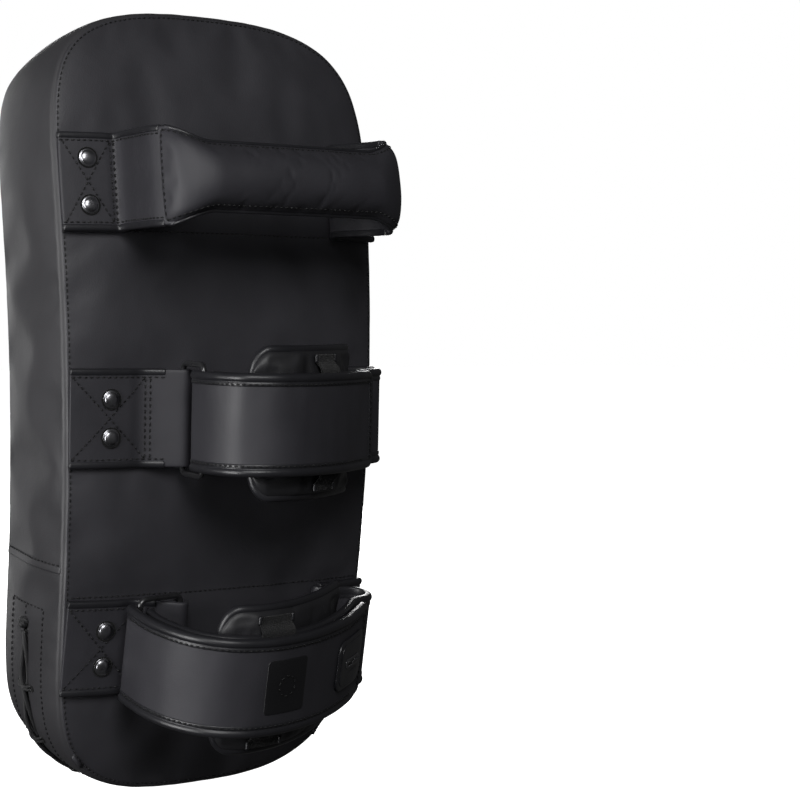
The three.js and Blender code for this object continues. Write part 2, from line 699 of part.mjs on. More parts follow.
const shield = new THREE.Group();
const middle = strapSet("middle", MIDDLE, MIDDLE_AT);
const lower = strapSet("lower", LOWER, LOWER_AT);
const grip = handle();
lower.frame.add(badge(LOWER));
const attached = [middle, lower, grip];
shield.add(
  ...padShell(attached.flatMap((set) => set.hole)),
  ...foamCore(attached.flatMap((set) => set.pocket)),
  ...lacing(),
  ...attached.map((set) => set.frame),
  ...attached.flatMap((set) => set.rivets),
);
shield.position.set(0, ARM_DEPTH, -bend(0, MIDDLE_AT, HALF_DEPTH)[2]);

export default shield;
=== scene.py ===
"""A kick shield: leather cover, padded grip, two padded arm straps, rings, rivets and lacing.

Lengths are in metres. The plan numbers of the straps are in millimetres, as on a pattern, and MM turns
them into metres.
"""

import math
import random

import bmesh
import bpy
import numpy as np
from mathutils import Matrix, Vector, noise
from mathutils.bvhtree import BVHTree


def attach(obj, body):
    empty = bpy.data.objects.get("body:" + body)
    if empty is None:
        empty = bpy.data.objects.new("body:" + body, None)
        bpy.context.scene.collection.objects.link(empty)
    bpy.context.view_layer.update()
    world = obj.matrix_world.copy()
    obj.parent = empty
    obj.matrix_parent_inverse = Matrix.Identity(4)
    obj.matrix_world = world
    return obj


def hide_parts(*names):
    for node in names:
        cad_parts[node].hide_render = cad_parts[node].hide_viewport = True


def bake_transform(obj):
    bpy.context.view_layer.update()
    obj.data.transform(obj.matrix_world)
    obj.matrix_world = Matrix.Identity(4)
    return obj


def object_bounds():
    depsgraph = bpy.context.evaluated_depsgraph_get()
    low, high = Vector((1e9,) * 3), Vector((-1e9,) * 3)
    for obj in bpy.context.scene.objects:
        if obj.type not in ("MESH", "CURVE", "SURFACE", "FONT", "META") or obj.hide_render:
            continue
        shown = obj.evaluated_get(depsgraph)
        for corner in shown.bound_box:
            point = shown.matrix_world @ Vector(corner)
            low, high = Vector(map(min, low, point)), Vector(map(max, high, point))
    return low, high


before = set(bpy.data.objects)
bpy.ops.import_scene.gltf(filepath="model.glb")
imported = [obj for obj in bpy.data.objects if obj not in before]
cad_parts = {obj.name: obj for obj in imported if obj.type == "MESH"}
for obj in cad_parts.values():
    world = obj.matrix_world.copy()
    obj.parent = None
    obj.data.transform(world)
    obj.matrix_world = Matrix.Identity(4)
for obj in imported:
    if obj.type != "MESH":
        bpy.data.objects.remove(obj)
cad_low, cad_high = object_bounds()
random.seed(7)

MM = 0.001

# ---- The pad's own shape, as in the CAD ----

PAD_LENGTH = 400 * MM
PAD_WIDTH = 190 * MM
PAD_DEPTH = 60 * MM
BEND_RADIUS = 820 * MM
END_POWER = 9
SIDE_POWER = 2.7
TAPER = 0.045
CROWN = 6 * MM
WALL_SWELL = 2.5 * MM
SKIN = 2 * MM
WALL_SEAM = -80 * MM
SLOT_TOP = -112 * MM
SLOT_WIDTH = 5 * MM
ARM_DEPTH = 72 * MM

HALF_LENGTH = PAD_LENGTH / 2
HALF_WIDTH = PAD_WIDTH / 2
HALF_DEPTH = PAD_DEPTH / 2

HANDLE_AT = 109 * MM
MIDDLE_AT = -5 * MM
LOWER_AT = -118 * MM
LIFT = (BEND_RADIUS + HALF_DEPTH) * math.sin(-MIDDLE_AT / BEND_RADIUS)

STRAP = 3.2
STRAP_HALF = 25
PATCH_GAP = 0.7
CLOSE_GAP = 3
LINER = 9
LINER_HALF = 39
LINER_CORNER = 16
TURN = 4.4
WIRE = 3

MIDDLE = {
    "eye": (-35, 14.5),
    "bar": (-39, 40.2),
    "touch": [(-41.5, 54), (-38, 70), (-25, 79), (-4, 80), (20, 72), (44, 57), (62, 42)],
    "liner": (0.16, 0.9),
    "keeper": (0.5, 0.64),
    "end": 0.93,
    "give": (-36, -20),
    "turn": (40.2, 42.2),
    "rivets": (-73, 9.7),
    "along": MIDDLE_AT,
}
LOWER = {
    "eye": (-33, 15.5),
    "bar": (-59, 19),
    "touch": [(-61.5, 33), (-60, 54), (-49, 73.5), (-30, 82), (-4, 80), (24, 69), (48, 53), (64, 39)],
    "liner": (0.26, 0.9),
    "keeper": (0.4, 0.53),
    "end": 1.0,
    "give": (-57, -45),
    "turn": (19, 27),
    "rivets": (-70.8, 9.5),
    "along": LOWER_AT,
}
STRAP_ROOT = [(74, 33), (79, 25), (76, 18.2), (68, 15.8), (60, 14.6), (55, 11.2)]
PATCH_INNER = 59
TAB_INNER = -46
GRIP_HALF = 69
GRIP_OUT = 62
GRIP_ARCH = 6
GRIP_SPAN = 0.26
DROOP = 0.13
DROOP_FROM = 14
GRIP_PATCH = -66
GRIP_END = (24, 5.2)
GRIP_MIDDLE = (17, 13)
HANDLE_RIVETS = (-82, 12)


# ---- Lines and surfaces ----


class Line:
    """A smooth line through points, or through every point given when it is already dense."""

    def __init__(self, points, dense=False):
        places = [Vector(p) for p in points]
        self.points = places if dense else catmull_rom(places)
        self.lengths = [0.0]
        for a, b in zip(self.points, self.points[1:]):
            self.lengths.append(self.lengths[-1] + (b - a).length)
        self.length = self.lengths[-1]

    def at(self, share):
        """(point, unit tangent) at a share of the length."""
        wanted = min(max(share, 0.0), 1.0) * self.length
        k = int(np.searchsorted(self.lengths, wanted, side="right")) - 1
        k = min(max(k, 0), len(self.points) - 2)
        step = self.lengths[k + 1] - self.lengths[k]
        t = (wanted - self.lengths[k]) / step if step else 0.0
        a, b = self.points[k], self.points[k + 1]
        return a.lerp(b, t), (b - a).normalized()


def catmull_rom(places, steps=24):
    """Dense points of a centripetal spline."""
    ends = [places[0] * 2 - places[1], *places, places[-1] * 2 - places[-2]]
    dense = []
    for p0, p1, p2, p3 in zip(ends, ends[1:], ends[2:], ends[3:]):
        d0, d1, d2 = [math.sqrt(max((b - a).length, 1e-9)) for a, b in ((p0, p1), (p1, p2), (p2, p3))]
        m1 = ((p1 - p0) / d0 - (p2 - p0) / (d0 + d1) + (p2 - p1) / d1) * d1
        m2 = ((p2 - p1) / d1 - (p3 - p1) / (d1 + d2) + (p3 - p2) / d2) * d1
        for k in range(steps):
            t = k / steps
            dense.append(
                p1 * (2 * t**3 - 3 * t**2 + 1)
                + m1 * (t**3 - 2 * t**2 + t)
                + p2 * (3 * t**2 - 2 * t**3)
                + m2 * (t**3 - t**2)
            )
    dense.append(places[-1].copy())
    return dense


def seam_curve(inset=0.0, samples=6000):
    """The seam line laid flat, from the top down the left side: Vector (across, along)."""
    points = []
    for k in range(samples + 1):
        turn = 2 * math.pi * k / samples
        along = math.cos(turn)
        across = max(0.0, 1 - abs(along) ** END_POWER) ** (1 / SIDE_POWER)
        side = -1 if math.sin(turn) > 0 else 1
        points.append(
            ((HALF_WIDTH - inset) * side * across * (1 + TAPER * along), (HALF_LENGTH - inset) * along)
        )
    return Line(points, dense=True)


seam_line = seam_curve()


def bend(across, along, behind):
    """A place in the pad: across it, along its bent middle, and behind that middle."""
    angle = along / BEND_RADIUS
    radius = BEND_RADIUS + behind
    return Vector(
        (across, BEND_RADIUS - radius * math.cos(angle) + ARM_DEPTH, radius * math.sin(angle) + LIFT)
    )


def rim_share(across, along):
    """0 in the middle of a face and 1 on its seam."""
    flat = abs(across) / (1 + TAPER * along / HALF_LENGTH) / HALF_WIDTH
    low, high = 0.0, 1.0
    for _ in range(24):
        share = (low + high) / 2
        reach = (abs(along) / HALF_LENGTH / share) ** END_POWER + (flat / share) ** SIDE_POWER
        if reach > 1:
            low = share
        else:
            high = share
    return high


def swell(across, along):
    return CROWN * (1 - rim_share(across, along) ** 4)


def half_width_at(along):
    share = abs(along) / HALF_LENGTH
    return HALF_WIDTH * (1 - share**END_POWER) ** (1 / SIDE_POWER) * (1 + TAPER * along / HALF_LENGTH)


def share_at(along):
    """The share of the seam line, down the left side, that ends at a height."""
    low, high = 0.0, 0.5
    for _ in range(40):
        middle = (low + high) / 2
        if seam_line.at(middle)[0].y > along:
            low = middle
        else:
            high = middle
    return high


def wall_place(share, behind, lift=0.0):
    """(place, outward normal) on the side wall."""
    edge, tangent = seam_line.at(share % 1.0)
    out = WALL_SWELL * (1 - (behind / HALF_DEPTH) ** 2) + lift
    place = bend(edge.x - tangent.y * -out, edge.y - tangent.x * out, behind)
    base = bend(edge.x, edge.y, behind)
    return place, (bend(edge.x + tangent.y, edge.y - tangent.x, behind) - base).normalized()


def back_place(across, along, lift=0.0):
    """(place, outward normal) on the back panel."""
    angle = along / BEND_RADIUS
    normal = Vector((0, -math.cos(angle), math.sin(angle)))
    return bend(across, along, HALF_DEPTH + swell(across, along) + lift), normal


def strike_place(across, along, lift=0.0):
    """(place, outward normal) on the strike panel."""
    angle = along / BEND_RADIUS
    normal = Vector((0, math.cos(angle), -math.sin(angle)))
    return bend(across, along, -HALF_DEPTH - swell(across, along) - lift), normal


def back_frame(along):
    """The matrix of a strap's own frame: local -Y is straight out of the back panel, Z up along it."""
    reach = STRAP_HALF * MM
    side = 0.75 * HALF_WIDTH
    slope = (swell(side, along - reach) - swell(side, along + reach)) / (2 * reach)
    turn = Matrix.Rotation(-(along / BEND_RADIUS + math.atan(slope)), 4, "X")
    return Matrix.Translation(bend(0, along, HALF_DEPTH)) @ turn


def on_panel(along, places):
    return [(x, swell(x * MM, along) / MM + PATCH_GAP + STRAP / 2) for x in places]


def beside(line, share, distance):
    point, tangent = line.at(share)
    return point.x - tangent.y * distance, point.y + tangent.x * distance


def offset(points, distance, count=15):
    line = Line(points)
    return [beside(line, k / (count - 1), distance) for k in range(count)]


class Plan:
    """A strap's line in its own frame. Distances and heights are in millimetres."""

    def __init__(self, matrix, line, droop=0.0):
        self.matrix = matrix
        self.line = line
        self.droop = droop
        self.length = line.length

    def place(self, share, distance, height):
        """(place, outward normal) beside the line. Past the line's ends it runs on straight."""
        point, tangent = self.line.at(share)
        over = (share - min(max(share, 0.0), 1.0)) * self.length
        point = point + tangent * over
        across, out = point.x - tangent.y * distance, point.y + tangent.x * distance
        low = height - self.droop * max(0.0, out - DROOP_FROM)
        normal = self.matrix.to_3x3() @ Vector((-tangent.y, -tangent.x, 0))
        return self.matrix @ (Vector((across, -out, low)) * MM), normal

    def row(self, start, end, distance, height, count=60):
        """A run of places along the line at one height."""
        shares = [start + (end - start) * k / count for k in range(count + 1)]
        return [self.place(share, distance, height) for share in shares]

    def column(self, share, distance, low, high, count=24):
        """A run of places across the strap."""
        heights = [low + (high - low) * k / count for k in range(count + 1)]
        return [self.place(share, distance, height) for height in heights]

    def trace(self, path, distance):
        """A run of places along a path of (millimetres along the line, height)."""
        return [self.place(along / self.length, distance, height) for along, height in path]


# ---- Materials ----


class Shader:
    """A procedural material under construction."""

    def __init__(self, name, color, roughness, **sockets):
        self.material = bpy.data.materials.new(name)
        self.material.use_nodes = True
        self.tree = self.material.node_tree
        self.surface = self.tree.nodes["Principled BSDF"]
        self.surface.inputs["Base Color"].default_value = (*color, 1)
        self.surface.inputs["Roughness"].default_value = roughness
        for key, value in sockets.items():
            self.surface.inputs[key.replace("_", " ")].default_value = value
        self.color = color
        self.roughness = roughness
        self.bump = None

    def node(self, kind, **inputs):
        made = self.tree.nodes.new(kind)
        for key, value in inputs.items():
            socket = made.inputs[key.replace("_", " ")]
            if isinstance(value, bpy.types.NodeSocket):
                self.tree.links.new(value, socket)
            else:
                socket.default_value = value
        return made

    def place(self):
        return self.node("ShaderNodeTexCoord").outputs["Object"]

    def grain(self, scale, strength, distance):
        """Pebbled leather grain of a scale in cells per metre."""
        cells = self.node("ShaderNodeTexVoronoi", Vector=self.place(), Scale=scale)
        self.relief(cells.outputs["Distance"], strength, distance)
        return self

    def cloud(self, scale, strength, distance, detail=4.0):
        """Uneven relief, such as soft wrinkles or fuzz."""
        made = self.node("ShaderNodeTexNoise", Vector=self.place(), Scale=scale, Detail=detail)
        self.relief(made.outputs["Fac"], strength, distance)
        return self

    def threads(self, scale, strength, distance, turn=(0, 0, 0)):
        """Fine ribs across a direction."""
        spun = self.node("ShaderNodeMapping", Vector=self.place(), Rotation=turn)
        wave = self.node("ShaderNodeTexWave", Vector=spun.outputs["Vector"], Scale=scale)
        self.relief(wave.outputs["Fac"], strength, distance)
        return self

    def relief(self, height, strength, distance):
        made = self.node("ShaderNodeBump", Strength=strength, Distance=distance, Height=height)
        if self.bump:
            self.tree.links.new(self.bump.outputs["Normal"], made.inputs["Normal"])
        self.bump = made
        self.tree.links.new(made.outputs["Normal"], self.surface.inputs["Normal"])

    def vary(self, scale, share, rough_share):
        """Colour and roughness that drift over the surface."""
        drift = self.node("ShaderNodeTexNoise", Vector=self.place(), Scale=scale, Detail=6.0)
        ramp = self.node("ShaderNodeValToRGB", Fac=drift.outputs["Fac"])
        low, high = ramp.color_ramp.elements
        low.position, high.position = 0.3, 0.7
        low.color = (*[c * (1 - share) for c in self.color], 1)
        high.color = (*[c * (1 + share) for c in self.color], 1)
        self.tree.links.new(ramp.outputs["Color"], self.surface.inputs["Base Color"])
        spread = self.node("ShaderNodeMapRange", Value=drift.outputs["Fac"])
        spread.inputs["From Min"].default_value = 0.3
        spread.inputs["From Max"].default_value = 0.7
        spread.inputs["To Min"].default_value = self.roughness - rough_share
        spread.inputs["To Max"].default_value = self.roughness + rough_share
        self.tree.links.new(spread.outputs["Result"], self.surface.inputs["Roughness"])
        return self

    def done(self):
        return self.material


def leather(name, color, roughness=0.5, cell=1500):
    shader = Shader(name, color, roughness, Specular_IOR_Level=0.35)
    shader.grain(cell, 0.2, 0.00018).grain(cell * 2.3, 0.15, 0.0001).cloud(70, 0.2, 0.0012)
    return shader.vary(28, 0.12, 0.05).done()


def cloth(name, color, roughness, scale, strength, distance):
    shader = Shader(name, color, roughness, Specular_IOR_Level=0.2, Sheen_Weight=0.08, Sheen_Roughness=0.5)
    return shader.cloud(scale, strength, distance, 8.0).vary(240, 0.4, 0.04).done()


def hard(name, color, roughness, **sockets):
    return Shader(name, color, roughness, **sockets).cloud(500, 0.08, 0.0003).vary(180, 0.2, 0.05).done()


cover_leather = leather("cover_leather", (0.026, 0.0255, 0.0295), 0.5)
wall_leather = leather("wall_leather", (0.026, 0.0255, 0.028), 0.52)
strap_leather = leather("strap_leather", (0.021, 0.0205, 0.0245), 0.55, 1700)
binding_leather = leather("binding_leather", (0.012, 0.012, 0.014), 0.36, 2200)
print_ink = leather("print_ink", (0.0075, 0.0075, 0.0085), 0.42)
lining = leather("lining", (0.012, 0.012, 0.0135), 0.48, 1500)
badge_rubber = hard("badge_rubber", (0.01, 0.01, 0.012), 0.36)
badge_face = hard("badge_face", (0.028, 0.028, 0.031), 0.28)
gunmetal = hard("gunmetal", (0.26, 0.26, 0.275), 0.3, Metallic=1.0)
black_wire = hard("black_wire", (0.012, 0.012, 0.013), 0.3, Coat_Weight=0.3, Coat_Roughness=0.25)
tape_cloth = cloth("tape_cloth", (0.0055, 0.0055, 0.006), 0.95, 1800, 1.0, 0.0012)
foam = cloth("foam", (0.02, 0.02, 0.022), 0.9, 900, 0.8, 0.001)
# Near-black: painted shade, for the rings round the rivets' feet and in the lace holes.
painted_hole_shade = cloth("painted_hole_shade", (0.002, 0.002, 0.002), 0.9, 900, 0.5, 0.0005)
thread = Shader("thread", (0.0035, 0.0035, 0.004), 0.6, Specular_IOR_Level=0.3)
thread = thread.threads(3000, 0.5, 0.0002, (0.6, 0.4, 0)).vary(90, 0.3, 0.1).done()
cord_cloth = Shader("cord_cloth", (0.016, 0.016, 0.017), 0.55, Specular_IOR_Level=0.4)
cord_cloth = cord_cloth.threads(700, 0.7, 0.0005, (0, 0.8, 0.8)).vary(120, 0.25, 0.1).done()


# ---- Meshes ----


def link(name, vertices, faces, materials):
    mesh = bpy.data.meshes.new(name)
    mesh.from_pydata([tuple(v) for v in vertices], [], [tuple(f) for f in faces])
    mesh.validate()
    for part in materials:
        mesh.materials.append(part)
    tidy = bmesh.new()
    tidy.from_mesh(mesh)
    bmesh.ops.recalc_face_normals(tidy, faces=tidy.faces)
    tidy.to_mesh(mesh)
    tidy.free()
    mesh.polygons.foreach_set("use_smooth", [True] * len(mesh.polygons))
    piece = bpy.data.objects.new(name, mesh)
    bpy.context.scene.collection.objects.link(piece)
    return piece


def make_piece(name, shape, material, body, replaced=(), levels=0, spread=None):
    piece = link(name, *shape, [material])
    if levels:
        subdivide(piece, levels)
    if replaced:
        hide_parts(*replaced)
    if spread:
        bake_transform(piece)
    else:
        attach(piece, body)
    return piece


def subdivide(piece, levels=1):
    step = piece.modifiers.new("smooth", "SUBSURF")
    step.levels = step.render_levels = levels
    return piece


def grid_faces(rows, columns, closed=False, base=0):
    """Faces of a grid whose vertices run row by row. closed joins each row's ends."""
    faces = []
    for r in range(rows - 1):
        for c in range(columns if closed else columns - 1):
            d = (c + 1) % columns
            corners = (r * columns + c, r * columns + d, (r + 1) * columns + d, (r + 1) * columns + c)
            faces.append(tuple(base + k for k in corners))
    return faces


def tube_faces(rows, columns, base=0, looped=False):
    """Faces of a tube with closed ends, or of one that meets itself."""
    faces = grid_faces(rows, columns, closed=True, base=base)
    last = base + (rows - 1) * columns
    if looped:
        for c in range(columns):
            d = (c + 1) % columns
            faces.append((last + c, last + d, base + d, base + c))
    else:
        faces.append(tuple(base + c for c in range(columns))[::-1])
        faces.append(tuple(last + c for c in range(columns)))
    return faces


def sheet_rim(columns, rows):
    """The vertices round the edge of a (rows + 1) by (columns + 1) grid, in order."""
    rim = [c for c in range(columns)]
    rim += [r * (columns + 1) + columns for r in range(rows)]
    rim += [rows * (columns + 1) + columns - c for c in range(columns)]
    rim += [(rows - r) * (columns + 1) for r in range(rows)]
    return rim


def cushion_faces(columns, rows):
    """Faces of two grids, one behind the other, joined round their edges."""
    layer = (rows + 1) * (columns + 1)
    faces = grid_faces(rows + 1, columns + 1) + grid_faces(rows + 1, columns + 1, base=layer)
    rim = sheet_rim(columns, rows)
    for a, b in zip(rim, rim[1:] + rim[:1]):
        faces.append((a, b, b + layer, a + layer))
    return faces


def rounded_section(half_x, half_y, radius, corner=3, flat=8):
    """A rounded rectangle, with extra points along its sides for bending."""
    points = []
    for sx, sy, start in ((1, 1, 0), (-1, 1, 90), (-1, -1, 180), (1, -1, 270)):
        cx, cy = sx * (half_x - radius), sy * (half_y - radius)
        for k in range(corner + 1):
            angle = math.radians(start + 90 * k / corner)
            arc = (cx + radius * math.cos(angle), cy + radius * math.sin(angle))
            if k == 0 and points:
                points += between(points[-1], arc, flat)
            points.append(arc)
    return points + between(points[-1], points[0], flat)


def between(a, b, parts):
    return [(a[0] + (b[0] - a[0]) * k / parts, a[1] + (b[1] - a[1]) * k / parts) for k in range(1, parts)]


def round_section(radius, sides=10):
    turns = [2 * math.pi * k / sides for k in range(sides)]
    return [(radius * math.cos(t), radius * math.sin(t)) for t in turns]


def path_stations(points, looped=False):
    """(place, side, up) along a path, whose sides turn as little as they can."""
    count = len(points)
    tangents = []
    for k in range(count):
        a = points[k - 1] if looped or k else points[0]
        b = points[(k + 1) % count] if looped or k < count - 1 else points[-1]
        tangents.append((b - a).normalized())
    side = tangents[0].orthogonal().normalized()
    stations = []
    for point, tangent in zip(points, tangents):
        side = (side - tangent * side.dot(tangent)).normalized()
        stations.append((point, side, tangent.cross(side).normalized()))
    if not looped:
        return stations
    first, last = stations[0][1], stations[-1][1]
    left = math.atan2(tangents[0].dot(last.cross(first)), last.dot(first))
    turned = []
    for k, (point, side, up) in enumerate(stations):
        spin = Matrix.Rotation(left * k / count, 3, tangents[k])
        turned.append((point, spin @ side, spin @ up))
    return turned


def tubes(name, paths, radius, material, body, replaced=(), looped=False, sides=10, spread=None):
    """One piece of round cords, one for each path of places."""
    vertices, faces = [], []
    section = round_section(radius, sides)
    for path in paths:
        base = len(vertices)
        for place, side, up in path_stations(path, looped):
            vertices += [place + side * x + up * y for x, y in section]
        faces += tube_faces(len(path), sides, base, looped)
    return make_piece(name, (vertices, faces), material, body, replaced, spread=spread)


def even_path(points, count):
    """A closed path's points, evenly spaced."""
    loop = Line([*points, points[0]], dense=True)
    return [loop.at(k / count)[0] for k in range(count)]


# ---- Stitches ----

STITCH = 2.1 * MM
STITCH_PITCH = 3.0 * MM
THREAD = 0.36 * MM
STITCH_SHAPE = [(-0.5, 0.4, -0.8), (-0.3, 1.0, 0.3), (0.0, 1.15, 0.5), (0.3, 1.0, 0.3), (0.5, 0.4, -0.8)]
THREAD_SIDES = 6
stitched = {}


def stitch(body, run):
    """Lays thread along a run of (place, normal), for the body's one stitching piece."""
    line = Line([place for place, _ in run], dense=True)
    count = max(1, int(line.length / STITCH_PITCH))
    vertices, faces = stitched.setdefault(body, ([], []))
    for k in range(count):
        share = (k + 0.5) / count
        place, tangent = line.at(share)
        normal = run[min(len(run) - 1, int(share * len(run)))][1]
        side = tangent.cross(normal).normalized()
        base = len(vertices)
        for step, girth, lift in STITCH_SHAPE:
            centre = place + tangent * (STITCH * step) + normal * (THREAD * lift)
            vertices += [centre + side * x + normal * y for x, y in round_section(THREAD * girth, THREAD_SIDES)]
        faces.extend(tube_faces(len(STITCH_SHAPE), THREAD_SIDES, base))


def finish_stitches():
    for body, shape in stitched.items():
        make_piece(f"stitching_{body}", shape, thread, body)


# ---- Soft shapes ----


def puff(piece, held, pressure, growth, cap, bending=2.0):
    """Lets a piece swell as cloth. held gives each vertex's hold from 0, free, to 1, sewn down."""
    scene = bpy.context.scene
    pins = piece.vertex_groups.new(name="held")
    for k, weight in enumerate(held):
        if weight > 0:
            pins.add([k], float(weight), "REPLACE")
    rest = [v.co.copy() for v in piece.data.vertices]
    step = piece.modifiers.new("cloth", "CLOTH")
    cloth_settings = step.settings
    cloth_settings.quality = 5
    cloth_settings.mass = 0.3
    cloth_settings.air_damping = 4
    cloth_settings.tension_stiffness = cloth_settings.compression_stiffness = 18
    cloth_settings.shear_stiffness = 8
    cloth_settings.bending_stiffness = bending
    cloth_settings.use_pressure = True
    cloth_settings.uniform_pressure_force = pressure
    cloth_settings.vertex_group_mass = "held"
    cloth_settings.pin_stiffness = 4
    cloth_settings.shrink_min = -growth
    cloth_settings.effector_weights.gravity = 0
    step.collision_settings.use_collision = False
    step.point_cache.frame_start = 1
    step.point_cache.frame_end = 20
    for number in range(1, 21):
        scene.frame_set(number)
    puffed = piece.evaluated_get(bpy.context.evaluated_depsgraph_get())
    moved = [v.co.copy() for v in puffed.data.vertices]
    piece.modifiers.remove(step)
    piece.vertex_groups.remove(pins)
    for vertex, start, end in zip(piece.data.vertices, rest, moved):
        shift = end - start
        if shift.length > cap:
            shift *= cap / shift.length
        vertex.co = start + shift
    scene.frame_set(1)


# ---- The cover ----

PANEL_COLUMNS = 40
PANEL_ROWS = 84
WALL_ROWS = [-28.8, -27.4, -25, -21, -16, -11, -6, -2.5, 0, 2.5, 6, 11, 16, 21, 25, 27.4, 28.8]
SEAM_SINK = 1.5 * MM
PANEL_INSET = 1.3 * MM
SEAM_STITCH = 2.6 * MM
PANEL_LINES = (86 * MM, -93 * MM)
HEM_REACH = 16 * MM
cover_tree = []


def rim_shares():
    """Shares of the seam line of the rim's vertices, and where its four corners fall."""
    corner_top = share_at(0.9 * HALF_LENGTH)
    corner_bottom = share_at(-0.9 * HALF_LENGTH)
    corners = [-corner_top, corner_top, corner_bottom, 1 - corner_bottom, 1 - corner_top]
    counts = [PANEL_COLUMNS, PANEL_ROWS, PANEL_COLUMNS, PANEL_ROWS]
    shares = []
    for (a, b), count in zip(zip(corners, corners[1:]), counts):
        shares += [a + (b - a) * k / count for k in range(count)]
    return shares


def pucker(share, phase):
    """Small gathers where the leather is drawn into a seam."""
    place = share * seam_line.length / (9 * MM)
    return 0.16 * MM * noise.noise(Vector((place, phase, 0.5)))


def panel_grid(rim):
    """A smooth grid of flat (across, along) whose edge follows the rim."""
    nc, nr = PANEL_COLUMNS, PANEL_ROWS
    top = rim[: nc + 1][::-1]
    left = rim[nc : nc + nr + 1]
    bottom = rim[nc + nr : 2 * nc + nr + 1]
    right = [rim[(2 * nc + nr + k) % len(rim)] for k in range(nr + 1)][::-1]
    grid = []
    for r in range(nr + 1):
        v = r / nr
        row = []
        for c in range(nc + 1):
            u = c / nc
            upper, lower = top[nc - c], bottom[c]
            row.append(
                upper * (1 - v) + lower * v + left[r] * (1 - u) + right[r] * u
                - (top[nc] * (1 - u) + top[0] * u) * (1 - v)
                - (bottom[0] * (1 - u) + bottom[nc] * u) * v
            )
        grid.append(row)
    return grid


def hold_at(across, along, is_back):
    """How firmly a place on a panel is held: sewn patches don't swell."""
    if is_back:
        for at in (HANDLE_AT, MIDDLE_AT, LOWER_AT):
            if abs(along - at) < 28 * MM and abs(across) > 40 * MM:
                return 1.0
    return 0.3 if rim_share(across, along) > 0.97 else 0.0


def make_cover():
    """One skin for both panels and the side wall, drawn in at its seams and open at its slot."""
    shares = rim_shares()
    count = len(shares)
    rim_flat = []
    for share in shares:
        edge, tangent = seam_line.at(share % 1.0)
        rim_flat.append(edge + Vector((-tangent.y, tangent.x)) * PANEL_INSET)
    grid = panel_grid(rim_flat)
    vertices, held, faces, zones = [], [], [], []
    nc, nr = PANEL_COLUMNS, PANEL_ROWS

    def panel(is_back):
        """One face of the pad. Returns its outer vertices, in the rim's order."""
        base = len(vertices)
        for row in grid:
            for flat in row:
                place, _ = (back_place if is_back else strike_place)(flat.x, flat.y)
                vertices.append(place)
                held.append(hold_at(flat.x, flat.y, is_back))
        made = grid_faces(nr + 1, nc + 1, base=base)
        faces.extend(made)
        zones.extend([0] * len(made))
        ring = [base + nc - k for k in range(nc)]
        ring += [base + k * (nc + 1) for k in range(nr)]
        ring += [base + nr * (nc + 1) + k for k in range(nc)]
        return ring + [base + (nr - k) * (nc + 1) + nc for k in range(nr)]

    def wall_ring(behind, lift, weight):
        base = len(vertices)
        for share in shares:
            gather = pucker(share, behind * 50) * (1 if weight else 0)
            vertices.append(wall_place(share, behind, lift + gather)[0])
            held.append(weight)
        return [base + k for k in range(count)]

    def join(a, b, zone, slot_from=None):
        for k in range(count):
            m = (k + 1) % count
            faces.append((a[k], a[m], b[m], b[k]))
            in_slot = slot_from is not None and slot_from < shares[k] % 1.0 < 1 - slot_from
            zones.append(2 if in_slot else zone)

    strike_ring = panel(False)
    seams = [wall_ring(-HALF_DEPTH, -SEAM_SINK, 1.0)]
    rows = [wall_ring(behind * MM, 0.15 * MM, 0.4 if abs(behind) > 27 else 0.0) for behind in WALL_ROWS]
    seams.append(wall_ring(HALF_DEPTH, -SEAM_SINK, 1.0))
    back_ring = panel(True)
    join(strike_ring, seams[0], 0)
    join(seams[0], rows[0], 1)
    for behind, a, b in zip(WALL_ROWS, rows, rows[1:]):
        join(a, b, 1, share_at(SLOT_TOP) if -SLOT_WIDTH / 2 <= behind * MM < SLOT_WIDTH / 2 else None)
    join(rows[-1], seams[1], 1)
    join(seams[1], back_ring, 0)

    cover = link("pad_cover", vertices, faces, [cover_leather, wall_leather, wall_leather])
    cover.data.polygons.foreach_set("material_index", zones)
    puff(cover, held, 2.0, 0.004, 1.6 * MM, bending=10.0)
    press_lines(cover)
    opened = bmesh.new()
    opened.from_mesh(cover.data)
    crease = opened.edges.layers.float.new("crease_edge")
    opened.verts.ensure_lookup_table()
    sharp = {k for ring in seams for k in ring}
    for edge in opened.edges:
        if edge.verts[0].index in sharp and edge.verts[1].index in sharp:
            edge[crease] = 0.7
    bmesh.ops.delete(opened, geom=[f for f in opened.faces if f.material_index == 2], context="FACES")
    opened.to_mesh(cover.data)
    opened.free()
    subdivide(cover)
    shell = cover.modifiers.new("skin", "SOLIDIFY")
    shell.thickness = 1.4 * MM
    shell.offset = -1
    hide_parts("strike_panel", "back_panel", "upper_wall", "lower_wall")
    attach(cover, "pad")
    cover_tree.append(BVHTree.FromObject(cover, bpy.context.evaluated_depsgraph_get()))
    sew_cover()


def press_lines(cover):
    """Presses a shallow channel into the back along each line sewn across it."""
    for vertex in cover.data.vertices:
        behind = Vector((0, vertex.co.y - ARM_DEPTH - BEND_RADIUS, vertex.co.z - LIFT))
        along = math.atan2(behind.z, -behind.y) * BEND_RADIUS
        if behind.length > BEND_RADIUS + HALF_DEPTH and abs(vertex.co.x) < HALF_WIDTH * 0.9:
            for at in PANEL_LINES:
                depth = math.exp(-(((along - at) / (4 * MM)) ** 2))
                vertex.co.y += 0.9 * MM * depth


def settle(place, normal, lift=0.1 * MM):
    """Moves a place along its normal onto the cover."""
    hit, _, _, _ = cover_tree[0].ray_cast(place + normal * 10 * MM, -normal, 25 * MM)
    return ((hit if hit else place) + normal * lift, normal)


